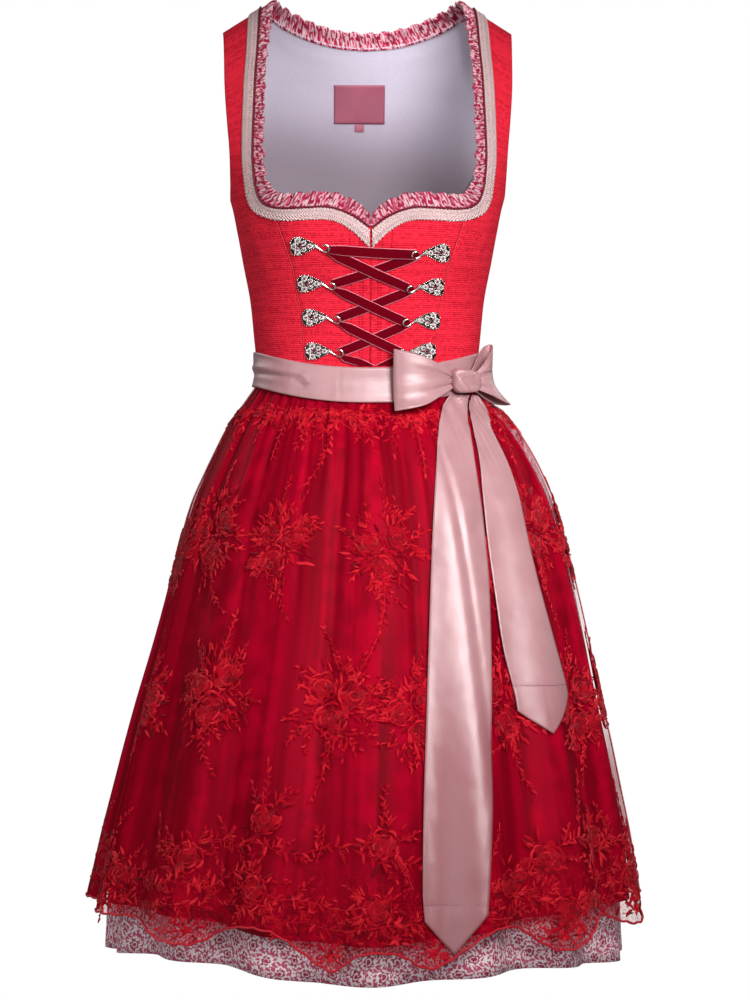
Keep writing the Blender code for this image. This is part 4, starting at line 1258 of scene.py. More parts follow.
@dataclass
class Wardrobe:
    """Every finish of the dress, each made once."""

    linen: Material
    lining: Material
    label: Material
    tab: Material
    braid: Material
    piping: Material
    welt: Material
    ruffle: Material
    silver: Material
    crystal: Material
    garnet: Material
    velvet: Material
    sash: Material
    sash_thread: Material
    skirt: Material
    skirt_inside: Material
    apron: Material
    net: Material
    embroidery: Material
    cord: Material

    @classmethod
    def filled(cls) -> "Wardrobe":
        """Make all the finishes."""
        return cls(
            linen=LinenFinish(
                "bodice_linen", (0.84, 0.03, 0.055), (0.66, 0.008, 0.033), 0.9, specular=0.04
            ).make(),
            lining=LiningFinish(
                "lining_cotton", (0.57, 0.51, 0.62), (0.54, 0.48, 0.585), 0.9, specular=0.1
            ).make(),
            label=SatinFinish("label_satin", (0.36, 0.09, 0.14), (0.32, 0.077, 0.124), 0.5).make(),
            tab=SatinFinish("label_tab_satin", (0.45, 0.14, 0.21), (0.4, 0.11, 0.17), 0.5).make(),
            braid=CrochetFinish(
                "braid_cream", (0.88, 0.65, 0.64), (0.76, 0.5, 0.5), 0.9, specular=0.05
            ).make(),
            piping=CordFinish("piping_red", (0.24, 0.004, 0.025), (0.09, 0.0, 0.01), 0.5).make(),
            welt=CordFinish("princess_welt", (0.9, 0.06, 0.09), (0.62, 0.01, 0.03), 0.7, lay=1.2).make(),
            ruffle=RuffleFinish(
                "ruffle_print", (0.72, 0.32, 0.39), (0.5, 0.08, 0.15), 0.8, specular=0.2
            ).make(),
            silver=MetalFinish("hook_silver", (0.95, 0.94, 0.9), (0.05, 0.045, 0.045), 0.25).make(),
            crystal=StoneFinish(
                "crystal_stone", (0.8, 0.79, 0.75), (0.34, 0.33, 0.31), 0.12, specular=1.0
            ).make(),
            garnet=StoneFinish(
                "garnet_stone", (0.34, 0.015, 0.07), (0.08, 0.0, 0.015), 0.1, specular=1.0
            ).make(),
            velvet=VelvetFinish(
                "lace_velvet", (0.17, 0.0, 0.008), (0.09, 0.0, 0.004), 0.9, specular=0.04
            ).make(),
            # The sash's low colour is painted shade towards the foot of its hanging ends
            sash=SatinFinish(
                "sash_satin", (0.475, 0.245, 0.26), (0.43, 0.213, 0.228), 0.34, specular=0.7, rumple=0.0009,
                low=(0.34, 0.12, 0.135)
            ).make(),
            sash_thread=CordFinish(
                "sash_thread", (0.72, 0.38, 0.44), (0.42, 0.18, 0.23), 0.6, lay=2.4
            ).make(),
            skirt=PrintFinish(
                "skirt_cotton", (0.9, 0.79, 0.83), (0.8, 0.69, 0.73), 0.85, specular=0.1
            ).make(),
            # The inside's darker ground is painted shade inside the skirt; its print is fainter
            skirt_inside=PrintFinish(
                "skirt_cotton_inside", (0.6, 0.53, 0.57), (0.52, 0.46, 0.5), 0.85, specular=0.2, fill=0.35
            ).make(),
            # The apron's fold width gives it painted streaks of fold shade
            apron=SatinFinish(
                "apron_satin", (0.56, 0.0, 0.024), (0.24, 0.0, 0.009), 0.5, specular=0.06, fold=44.0
            ).make(),
            net=NetFinish("apron_net", (0.52, 0.0, 0.022), (0.26, 0.0, 0.01), 0.8, specular=0.02).make(),
            embroidery=ThreadFinish(
                "embroidery_thread", (0.58, 0.002, 0.016), (0.17, 0.0, 0.006), 0.4, specular=0.12
            ).make(),
            cord=CordFinish(
                "hem_cord", (0.8, 0.02, 0.04), (0.42, 0.002, 0.015), 0.5, specular=0.3, lay=1.8
            ).make()
        )


@dataclass
class Bodice:
    """The bodice's outer panels and lining, with the label, the placket and the princess welts.

    Tables hold lengths or shares in their first column, then half width and drop.
    """

    body: BodiceBlock
    skirt: SkirtBlock
    wardrobe: Wardrobe
    neck_front: Table = (
        (0, 0, 225), (4, 3, 222.8), (16, 13, 215.8), (33, 29, 208.5), (49, 44, 205), (69, 64, 205.5),
        (88, 83, 205.5), (101, 96, 203), (111, 104, 197.5), (124, 109, 187), (140, 112, 172),
        (162, 113.8, 150), (207, 113.4, 110), (252, 111.8, 70), (290, 109.2, 40), (326, 107.5, 12),
        (346, 106.5, 3), (363, 106, SHOULDER_DROP)
    )
    neck_corner: float = 101
    neck_length: float = 363
    neck_back: Table = (
        (0, 106, SHOULDER_DROP), (16, 103, 4), (30, 97, 9.5), (48, 84, 17.5), (76, 59, 27.5), (107, 30, 34.6),
        (137, 0, 37)
    )
    neck_back_length: float = 137
    armhole: Table = (
        (0, 137.5, 190), (0.06, 138.3, 186), (0.14, 138.2, 174), (0.32, 139.2, 140), (0.5, 142.3, 100),
        (0.67, 144.8, 60), (0.8, 145.4, 32), (0.9, 146, 12), (0.96, 146.6, 3), (1, 147, SHOULDER_DROP)
    )
    princess: Table = ((203, 96), (225, 89.5), (262, 77), (280, 73.5), (312, 67.5), (350, 64.5), (385, 63))
    strap: tuple[float, float] = (106, 147)
    underarm_drop: float = 190
    back_seam_waist: float = 55
    back_seam_bend: float = 2.2
    back_seam_armhole: float = 0.42
    front_split: float = 0.45
    back_split: float = 0.55
    back_neck_share: float = 0.72
    panel_width: float = 65
    panel_height: float = 140
    # Half the gap at a seam, and the share of it that is left at the side seams
    half_gap: float = 0.15
    side_share: float = 0.08
    # Millimetres of cloth for each radian, and where the creases' places wrap round the back
    girth: float = 115
    wrap: float = 330
    strap_split: float = 0.62
    wall: float = 1.5
    middle: float = 2.05
    lining_wall: float = 1.0
    lining_middle: float = 0.3
    seam_dip: float = 0.45
    seam_reach: float = 1.6
    label_box: tuple[float, ...] = (-32.5, 21, 73, 109)
    tab_box: tuple[float, ...] = (-10.5, -0.5, 109.6, 116)
    label_middle: float = -1.7
    label_slope: float = 0.045
    placket_half: float = 8
    placket_middle: float = -0.1
    welt_radius: float = 0.55
    # The zip's two rows of coil: distance from the centre, swing, pace, middle and radius
    zip_half: float = 0.55
    zip_swing: float = 0.2
    zip_pace: float = 4.2
    zip_middle: float = 1.2
    zip_radius: float = 0.34
    creases: tuple[Crease, ...] = (
        Crease((-118, 196), (-88, 232), 7, -1.0), Crease((-128, 214), (-104, 268), 6, 0.9),
        Crease((-124, 300), (-84, 318), 5, -0.9), Crease((-116, 330), (-74, 338), 4.5, 0.8),
        Crease((-140, 338), (-104, 350), 4, -0.8), Crease((118, 196), (90, 230), 7, -1.0),
        Crease((130, 216), (106, 262), 6, 0.9), Crease((126, 296), (86, 314), 5, -0.9),
        Crease((142, 326), (100, 344), 4.5, 0.9), Crease((112, 338), (78, 346), 4, -0.7),
        Crease((-46, 336), (-24, 352), 4, -0.5), Crease((30, 330), (50, 350), 4, -0.5),
        Crease((-250, 320), (-215, 342), 6, -1.0), Crease((236, 300), (205, 330), 6, -1.0),
        Crease((320, 250), (300, 330), 8, -0.9), Crease((-320, 240), (-296, 332), 8, -0.9)
    )
    lining_creases: tuple[Crease, ...] = (
        Crease((-100, 22), (-70, 44), 5, -0.7), Crease((-70, 44), (-25, 52), 5, -0.6),
        Crease((25, 52), (72, 43), 5, -0.6), Crease((72, 43), (101, 24), 5, -0.7),
        Crease((-80, 130), (-66, 190), 9, -0.7), Crease((74, 120), (62, 186), 9, -0.7)
    )

    def neck_at(self, length: Array, side: int) -> tuple[Array, Array]:
        """Angle and drop of the front neckline at a length along it."""
        x = along(self.neck_front, length, 1)
        drop = along(self.neck_front, length, 2)
        return self.body.angle_at(side * x, drop), drop

    def armhole_at(self, share: Array, side: int, back: bool = False) -> tuple[Array, Array]:
        """Angle and drop of the armhole edge at a share of its length."""
        drop = along(self.armhole, share, 2)
        x = np.minimum(along(self.armhole, share, 1), along(self.body.rows, drop, 1))
        return self.body.angle_at(side * x, drop, back), drop

    def shoulder_at(self, share: Array, side: int, back: bool = False) -> tuple[Array, Array]:
        """Angle and drop on the shoulder seam, from its inner to its outer end."""
        x = mix(*self.strap, share)
        drop = np.full_like(x, SHOULDER_DROP)
        return self.body.angle_at(side * x, drop, back), drop

    def princess_at(self, share: Array, side: int) -> tuple[Array, Array]:
        """Angle and drop on the front princess seam, from the waist up."""
        foot = self.skirt.waist + self.skirt.waist_dip
        waist = self.skirt.waist_drop(self.body.angle_at(self.princess[-1][1], foot))
        drop = mix(waist, self.princess[0][0], share)
        return self.body.angle_at(side * along(self.princess, drop, 1), drop), drop

    def back_seam_at(self, share: Array, side: int) -> tuple[Array, Array]:
        """Angle and drop on the curved back seam, from the waist up."""
        top_drop = along(self.armhole, self.back_seam_armhole, 2)
        top_x = along(self.armhole, self.back_seam_armhole, 1)
        x = mix(self.back_seam_waist, top_x, share**self.back_seam_bend)
        drop = mix(self.skirt.waist, top_drop, share)
        return self.body.angle_at(side * x, drop, True), drop

    @staticmethod
    def patch(bottom: Callable, top: Callable, inner: Callable, outer: Callable) -> Callable:
        """Blend four edge curves into one panel.

        Args:
            bottom: Lower edge, an angle and a drop for each share across.
            top: Upper edge.
            inner: Edge at share 0 across, for each share up.
            outer: Edge at share 1 across.

        Returns:
            A function of shares across and up that gives angle and drop.
        """

        def at(u: Array, v: Array) -> list[Array]:
            """Angle and drop of a place in the panel."""
            low, high, left, right = bottom(u), top(u), inner(v), outer(v)
            zero, one = np.zeros_like(u), np.ones_like(u)
            corners = (bottom(zero), bottom(one), top(zero), top(one))
            weights = ((1 - u) * (1 - v), u * (1 - v), (1 - u) * v, u * v)
            return [
                (1 - v) * low[k] + v * high[k] + (1 - u) * left[k] + u * right[k] - sum(
                    weight * corner[k] for weight, corner in zip(weights, corners)
                )
                for k in (0, 1)
            ]

        return at

    @staticmethod
    def choose(test: Array, first: tuple[Array, Array], second: tuple[Array, Array]) -> tuple[Array, Array]:
        """Take angle and drop from one of two edges."""
        return np.where(test, first[0], second[0]), np.where(test, first[1], second[1])

    def front_centre(self, side: int) -> Callable:
        """Panel from the centre front to the princess seam."""
        foot = self.princess_at(np.zeros(1), side)[0][0]

        def bottom(u: Array) -> tuple[Array, Array]:
            """Waist edge."""
            return foot * u, self.skirt.waist_drop(foot * u)

        def centre(v: Array) -> tuple[Array, Array]:
            """Centre front."""
            return np.zeros_like(v), mix(self.skirt.waist_drop(0.0), self.neck_front[0][2], v)

        return self.patch(
            bottom, lambda u: self.neck_at(self.neck_corner * u, side), centre,
            lambda v: self.princess_at(v, side)
        )

    def front_side(self, side: int) -> Callable:
        """Panel from the princess seam to the side seam, with the front of the strap."""
        foot = self.princess_at(np.zeros(1), side)[0][0]
        edge = side * math.pi / 2

        def bottom(u: Array) -> tuple[Array, Array]:
            """Waist edge."""
            angle = mix(foot, edge, u)
            return angle, self.skirt.waist_drop(angle)

        def inner(v: Array) -> tuple[Array, Array]:
            """Princess seam, then neckline."""
            seam = self.princess_at(np.minimum(v / self.front_split, 1.0), side)
            part = np.maximum((v - self.front_split) / (1 - self.front_split), 0.0)
            neck = self.neck_at(mix(self.neck_corner, self.neck_length, part), side)
            return self.choose(v <= self.front_split, seam, neck)

        def outer(v: Array) -> tuple[Array, Array]:
            """Side seam, then armhole."""
            part = np.minimum(v / self.front_split, 1.0)
            seam = (np.full_like(v, edge), mix(self.skirt.waist, self.underarm_drop, part))
            hole = self.armhole_at(np.maximum((v - self.front_split) / (1 - self.front_split), 0.0), side)
            return self.choose(v <= self.front_split, seam, hole)

        return self.patch(bottom, lambda u: self.shoulder_at(u, side), inner, outer)

    def back_side(self, side: int) -> Callable:
        """Panel of the back between the side seam and the curved seam."""
        foot = self.back_seam_at(np.zeros(1), side)[0][0]
        edge = side * math.pi / 2

        def bottom(u: Array) -> tuple[Array, Array]:
            """Waist edge."""
            return mix(foot, edge, u), np.full_like(u, self.skirt.waist)

        def outer(v: Array) -> tuple[Array, Array]:
            """Side seam."""
            return np.full_like(v, edge), mix(self.skirt.waist, self.underarm_drop, v)

        return self.patch(
            bottom, lambda u: self.armhole_at(self.back_seam_armhole * (1 - u), side, True),
            lambda v: self.back_seam_at(v, side), outer
        )

    def back_centre(self) -> Callable:
        """Panel of the back between the curved seams, up to the neck and the shoulders."""

        def turned(place: tuple[Array, Array]) -> tuple[Array, Array]:
            """Count the angle from the centre back."""
            return place[0] - np.copysign(math.pi, place[0]), place[1]

        def edge(v: Array, side: int) -> tuple[Array, Array]:
            """Curved seam, then armhole."""
            seam = self.back_seam_at(np.minimum(v / self.back_split, 1.0), side)
            part = np.maximum((v - self.back_split) / (1 - self.back_split), 0.0)
            hole = self.armhole_at(mix(self.back_seam_armhole, 1, part), side, True)
            return turned(self.choose(v <= self.back_split, seam, hole))

        def bottom(u: Array) -> tuple[Array, Array]:
            """Waist edge."""
            foot = edge(np.zeros(1), -1)[0][0]
            return mix(foot, -foot, u), np.full_like(u, self.skirt.waist)

        def top(u: Array) -> tuple[Array, Array]:
            """Shoulder, neckline, shoulder."""
            side = np.where(u >= 0.5, 1.0, -1.0)
            share = np.abs(2 * u - 1)
            part = np.maximum((share - self.back_neck_share) / (1 - self.back_neck_share), 0.0)
            x = mix(*self.strap, part)
            length = self.neck_back_length * np.maximum(1 - share / self.back_neck_share, 0.0)
            neck_x = np.maximum(along(self.neck_back, length, 1), 0.001)
            strap = share > self.back_neck_share
            x = side * np.where(strap, x, neck_x)
            drop = np.where(strap, SHOULDER_DROP, along(self.neck_back, length, 2))
            return turned((self.body.angle_at(x, drop, True), drop))

        flat = self.patch(bottom, top, lambda v: edge(v, -1), lambda v: edge(v, 1))

        def at(u: Array, v: Array) -> tuple[Array, Array]:
            """Angle and drop, with the angle counted from the centre front."""
            angle, drop = flat(u, v)
            return angle + math.pi, drop

        return at

    def panel(self, node: str, shape: Callable, columns: Array, rows: Array, lining: bool = False) -> None:
        """Make one panel of the bodice or of its lining.

        Args:
            node: The solid that it stands for.
            shape: Angle and drop for shares across and up.
            columns: Shares across.
            rows: Shares up.
            lining: True for the lining's own panels.
        """
        columns = columns.copy()
        columns[0] += self.half_gap / self.panel_width
        columns[-1] -= self.half_gap / self.panel_width * (self.side_share if "_side_" in node else 1)
        rows = rows.copy()
        rows[0] += self.half_gap / self.panel_height
        u, v = grid(columns, rows)
        angle, drop = shape(u, v)
        drop = np.maximum(drop, SHOULDER_DROP)
        around = angle * self.girth
        full = 2 * math.pi * self.girth
        places = np.stack([around, drop], axis=-1)
        middle = self.lining_middle if lining else self.middle
        wrapped = np.where(around > self.wrap, around - full, around)
        if lining:
            x = self.body.point(angle, drop)[..., 0]
            off = middle + creased(x, drop, self.lining_creases)
            places = np.stack([np.where(around < 0, around + full, around), drop], axis=-1)
            finishes = [self.wardrobe.lining]
            wall = self.lining_wall
            slot = "lining_cotton"
        else:
            near = np.minimum(u, 1 - u) * self.panel_width
            dip = self.seam_dip * np.exp(-((near / self.seam_reach) ** 2)) * smooth(drop / 60)
            off = middle - dip + creased(wrapped, drop, self.creases)
            finishes = [self.wardrobe.linen, self.wardrobe.lining]
            wall = self.wall
            slot = "bodice_linen"
        points = self.body.on(angle, drop, off)
        outwards = shape(np.ones(1) * 0.6, np.ones(1) * 0.3)[0] > shape(np.ones(1) * 0.4, np.ones(1) * 0.3)[0]
        ClothPiece(
            f"{node}_cloth", points, places, wall, finishes, slot, [node], Held.STRETCHED, ["the wearer"],
            inwards=not bool(outwards[0])
        ).build()

    def build(self) -> None:
        """Build every panel and what is sewn to them."""
        centre = steps(41)
        tall = steps(51)
        strap = np.concatenate(
            [
                np.linspace(0, self.front_split, 44)[:-1],
                np.linspace(self.front_split, self.strap_split, 28)[:-1], np.linspace(self.strap_split, 1, 34)
            ]
        )
        back_rows = np.concatenate(
            [np.linspace(0, self.back_split, 40)[:-1], np.linspace(self.back_split, 1, 30)]
        )
        half = self.back_neck_share / 2
        back_columns = np.concatenate(
            [
                np.linspace(0, 0.5 - half, 12)[:-1], np.linspace(0.5 - half, 0.5 + half, 47)[:-1],
                np.linspace(0.5 + half, 1, 12)
            ]
        )
        for word, side in SIDES:
            self.panel(f"front_centre_{word}", self.front_centre(side), centre, tall)
            self.panel(f"front_side_{word}", self.front_side(side), steps(35), strap)
            self.panel(f"back_side_{word}", self.back_side(side), steps(29), tall)
            self.panel(f"lining_side_{word}", self.back_side(side), steps(29), tall, True)
            self.welt(word, side)
        self.panel("back_centre", self.back_centre(), back_columns, back_rows)
        self.panel("lining_centre", self.back_centre(), back_columns, back_rows, True)
        self.inside()

    def welt(self, word: str, side: int) -> None:
        """Lay the fine raised welt along a princess seam."""
        angle, drop = self.princess_at(np.linspace(0.04, 0.975, 120), side)
        path = self.body.on(angle, drop, self.middle + self.wall / 2)
        out = unit(self.body.on(angle, drop, 3.0) - self.body.on(angle, drop, 1.0))
        radii = np.full(120, self.welt_radius)
        radii[0] = radii[-1] = 0.05
        relief = Relief()
        points = tube_grid(path, out, radii, 8)
        length = np.broadcast_to(drop[:, None], points.shape[:2])
        uv = np.stack([length, np.broadcast_to(np.arange(9.0)[None, :], points.shape[:2])], axis=-1)
        relief.add(points, uv=uv)
        relief.sew(f"princess_welt_{word}", self.wardrobe.welt, "bodice_linen")

    def inside(self) -> None:
        """Sew in the plain label, its tab and the strip behind the centre front."""
        pieces = (
            ("label", self.label_box, self.wardrobe.label, "label_satin"),
            ("label_tab", self.tab_box, self.wardrobe.tab, "lining_cotton")
        )
        for node, (low_x, high_x, high, low), finish, slot in pieces:
            u, v = grid(steps(25), steps(19))
            x = mix(low_x, high_x, u)
            drop = mix(low, high, v)
            edge = np.minimum(np.minimum(x - low_x, high_x - x), np.minimum(drop - high, low - drop))
            off = self.label_middle + 0.35 * np.exp(-((edge / 1.6) ** 2))
            off = off + 0.25 * np.sin(x / 9) * np.sin(drop / 11)
            points = self.body.on(self.body.angle_at(np.where(x == 0, 0.001, x), drop, True), drop, off)
            places = np.stack([x, drop], axis=-1)
            drop = drop + self.label_slope * x
            ClothPiece(
                f"{node}_cloth", points, places, 0.6, [finish], slot, [node], Held.LAID,
                ["lining_centre_cloth"]
            ).build()
        u, v = grid(steps(9), steps(32))
        top = self.neck_front[0][2] + 4
        drop = mix(self.skirt.waist_drop(0.0) - 1, top, v)
        x = mix(-self.placket_half, self.placket_half, u)
        points = self.body.on_front(x, drop, self.placket_middle)
        places = np.stack([x + 40, drop], axis=-1)
        ClothPiece(
            "placket_cloth", points, places, 1.0, [self.wardrobe.linen, self.wardrobe.lining], "bodice_linen",
            ["placket"], Held.LAID, ["front_centre_right_cloth"]
        ).build()
        self.zip()

    def zip(self) -> None:
        """Lay the zip's coil in the gap of the centre front."""
        relief = Relief()
        drops = np.linspace(self.neck_front[0][2] + 6, self.skirt.waist_drop(0.0) - 3, 200)
        for side in (-1, 1):
            x = side * (self.zip_half + self.zip_swing * np.cos(drops * self.zip_pace))
            path = self.body.on_front(x, drops, self.zip_middle)
            out = np.tile(np.array([[0.0, -1.0, 0.0]]), (len(drops), 1))
            radii = np.full(len(drops), self.zip_radius)
            relief.add(tube_grid(path, out, radii, 6), tone=0.4)
        relief.sew("centre_front_zip", self.wardrobe.piping, "bodice_linen")


@dataclass
class NeckTrim:
    """Crocheted braid, piping and gathered ruffle round the neckline."""

    bodice: Bodice
    wardrobe: Wardrobe
    braid_edge: Table = (
        (0, 0, 246), (4, 5, 241), (16, 17, 230), (33, 32, 221), (49, 45, 218), (69, 64, 218), (88, 85, 218),
        (101, 101, 214), (111, 113, 206), (124, 119.5, 193), (140, 122.5, 175), (162, 125, 151),
        (207, 125.5, 110), (252, 124.2, 70), (290, 121.8, 41), (326, 120, 13), (346, 119, 3.6),
        (363, 118, SHOULDER_DROP)
    )
    ruffle_edge: Table = (
        (0, 1.2, 214.5), (4, 2.6, 211.5), (16, 10.5, 203.5), (33, 26, 195.5), (49, 43, 191.5),
        (69, 63.5, 192), (88, 80, 192.5), (101, 88.5, 191.5), (111, 94, 188), (124, 99, 181), (140, 103, 169),
        (162, 105, 149), (207, 104.5, 110), (252, 103, 70), (290, 99.5, 40), (326, 96.5, 12), (346, 94.5, 3),
        (363, 93.5, SHOULDER_DROP)
    )
    ruffle_back_edge: Table = (
        (0, 93.5, SHOULDER_DROP), (16, 91.5, 0.7), (30, 87, 2.6), (48, 76, 7.5), (76, 54, 15.5),
        (107, 27.5, 22), (137, 0, 24.3)
    )
    braid_inner: float = 0.24
    braid_middle: float = 3.9
    braid_wall: float = 0.8
    braid_gap: float = 1.5
    picot: float = 3.3
    braid_width: float = 9.5
    pipe_radius: float = 1.1
    pipe_middle: float = 4.5
    pipe_share: float = 0.1
    pipe_start: float = 2.4
    pipe_back_turn: float = 30
    pipe_back_below: float = 1.4
    pipe_back_outside: float = 1.2
    ruffle_front_waves: int = 20
    ruffle_back_waves: int = 16
    ruffle_height: float = 2.6
    ruffle_lean: float = 1.5
    ruffle_root: float = -0.09
    ruffle_back_root: float = -0.2
    ruffle_root_middle: float = 3.3
    ruffle_back_middle: float = -1.0
    gather_front: int = 49
    gather_back: int = 37
    ruffle_wall: float = 0.7
    # Places on the ruffle's cloth: how much it is gathered, its width and its hidden root
    ruffle_fullness: float = 1.6
    ruffle_width: float = 14
    ruffle_hidden: float = 3

    def band_point(
        self, outer: Table, length: Array, share: Array, side: int, off: Array, gap: float = 0.15
    ) -> Array:
        """Point on a band between the neckline and another edge."""
        x = mix(along(self.bodice.neck_front, length, 1), along(outer, length, 1), share)
        drop = mix(along(self.bodice.neck_front, length, 2), along(outer, length, 2), share)
        drop = np.maximum(drop, SHOULDER_DROP)
        x = np.maximum(x, gap) * side
        return self.bodice.body.on(self.bodice.body.angle_at(x, drop), drop, off)

    def build(self) -> None:
        """Build the trim of both sides and of the back."""
        for word, side in SIDES:
            self.braid(word, side)
            self.piping(word, side)
            self.ruffle(word, side)
        self.back_piping()
        self.back_ruffle()

    def braid(self, word: str, side: int) -> None:
        """Crochet one side's braid, with picots along both edges and two raised chains."""
        share, length = grid(steps(10), np.linspace(0.2, self.bodice.neck_length - 0.02, 480))
        picots = np.abs(np.sin(math.pi * length / self.picot))
        inner = self.braid_inner - 0.07 * picots
        outer = 0.98 + 0.1 * picots
        across = mix(inner, outer, share)
        chain = np.abs(np.sin(math.pi * length / self.picot + math.pi / 2 * np.floor(share * 2)))
        rows = np.sin(math.pi * ((share * 3) % 1.0))
        relief = 0.55 * rows * (0.45 + 0.55 * chain)
        points = self.band_point(
            self.braid_edge, length, across, side, self.braid_middle + relief - 0.1, self.braid_gap
        )
        places = np.stack([length, share * self.braid_width], axis=-1)
        ClothPiece(
            f"braid_{word}_crochet", points, places, self.braid_wall, [self.wardrobe.braid], "braid_cream",
            [f"braid_{word}"], Held.LAID, [f"front_side_{word}_cloth"], inwards=side > 0
        ).build()

    def cord(self, name: str, path: Array, nodes: Sequence[str]) -> None:
        """Make a twisted cord along points on the bodice."""
        length = run_length(path)
        sides = 8
        turn = np.linspace(0, 2 * math.pi, sides + 1)
        radii = self.pipe_radius * (1 + 0.1 * np.cos(2 * turn[None, :] - length[:, None] * 2.4))
        radii[0] = radii[-1] = 0.05
        out = unit(path * np.array([1.0, 1.0, 0.0]) - np.array([0.0, 20.0, 0.0]))
        relief = Relief()
        points = tube_grid(path, out, radii, sides)
        uv = cord_places(length, sides)
        relief.add(points, uv=uv)
        relief.sew(name, self.wardrobe.piping, "piping_red", nodes)

    def piping(self, word: str, side: int) -> None:
        """Lay one side's piping."""
        length = np.linspace(self.pipe_start, self.bodice.neck_length - 0.02, 420)
        share = np.full_like(length, self.pipe_share)
        path = self.band_point(self.braid_edge, length, share, side, np.full_like(length, self.pipe_middle))
        self.cord(f"piping_{word}_cord", path, [f"piping_{word}"])

    def back_piping(self) -> None:
        """Lay the piping round the back of the neck."""
        share = np.linspace(-0.9998, 0.9998, 260)
        length = self.bodice.neck_back_length * (1 - np.abs(share))
        side = np.where(share >= 0, 1.0, -1.0)
        turn = smooth(length / self.pipe_back_turn)
        drop = along(self.bodice.neck_back, length, 2) + self.pipe_back_below * turn
        x = along(self.bodice.neck_back, length, 1) + self.pipe_back_outside * (1 - turn)
        x = np.maximum(x, 0.001) * side
        path = self.bodice.body.on(self.bodice.body.angle_at(x, drop, True), drop, self.pipe_middle)
        self.cord("piping_back_cord", path, ["piping_back"])

    def wave(self, place: Array, waves: int, gathers: int, v: Array, base: float) -> Array:
        """Middle of a ruffle's wall at a share of its length, in waves with sharp little gathers.

        Args:
            place: Share of the ruffle's length.
            waves: Number of its broad waves.
            gathers: Number of its small gathers.
            v: Share of its width, from the seam to the free edge.
            base: Distance of its seam from the block.

        Returns:
            Distance outwards from the block.
        """
        swell = 1 + 0.25 * np.sin(place * waves * 0.9)
        broad = self.ruffle_height * swell * np.sin(2 * math.pi * waves * place)
        turn = 2 * math.pi * (gathers * place + 0.5 * np.sin(11.3 * place) + 0.12 * np.sin(91 * place))
        pleat = np.sin(turn + 0.9 * np.sin(turn)) * (0.75 + 0.35 * np.sin(23 * place + 1))
        small = 1.25 * pleat * smooth(v / 0.3) * (1.15 - 0.35 * v)
        root = mix(base, self.bodice.middle, smooth(v / 0.35))
        return root + v * (self.ruffle_lean + 0.75 * broad) + small

    def ruffle(self, word: str, side: int) -> None:
        """Gather one side's ruffle."""
        share = np.linspace(0.0006, 0.99995, 720)
        v, place = grid(steps(7), share)
        length = place * self.bodice.neck_length
        off = self.wave(place, self.ruffle_front_waves, self.gather_front, v, self.ruffle_root_middle)
        edge = 0.05 * np.sin(2 * math.pi * self.ruffle_front_waves * 1.5 * place) * v
        across = mix(self.ruffle_root, 1, v) + edge
        points = self.band_point(self.ruffle_edge, length, across, side, off)
        places = np.stack(
            [length * self.ruffle_fullness, v * self.ruffle_width + self.ruffle_hidden], axis=-1
        )
        ClothPiece(
            f"ruffle_{word}_cloth", points, places, self.ruffle_wall, [self.wardrobe.ruffle], "ruffle_print",
            [f"ruffle_{word}"], Held.GATHERED, [f"front_side_{word}_cloth"], inwards=side < 0
        ).build()

    def back_ruffle(self) -> None:
        """Gather the ruffle round the back of the neck."""
        v, place = grid(steps(7), np.linspace(0.0001, 0.9999, 680))
        side = np.where(place >= 0.5, 1.0, -1.0)
        length = self.bodice.neck_back_length * (1 - np.abs(2 * place - 1))
        off = self.wave(place, self.ruffle_back_waves, self.gather_back, v, self.ruffle_back_middle)
        reach = mix(self.ruffle_back_root, 1, v)
        x = mix(along(self.bodice.neck_back, length, 1), along(self.ruffle_back_edge, length, 1), reach)
        drop = mix(along(self.bodice.neck_back, length, 2), along(self.ruffle_back_edge, length, 2), reach)
        drop = np.maximum(drop, SHOULDER_DROP)
        angle = self.bodice.body.angle_at(side * np.maximum(x, 0.001), drop, True)
        points = self.bodice.body.on(angle, drop, off)
        run = place * 2 * self.bodice.neck_back_length * self.ruffle_fullness
        places = np.stack([run, v * self.ruffle_width + self.ruffle_hidden], axis=-1)
        ClothPiece(
            "ruffle_back_cloth", points, places, self.ruffle_wall, [self.wardrobe.ruffle], "ruffle_print",
            ["ruffle_back"], Held.GATHERED, ["back_centre_cloth"]
        ).build()


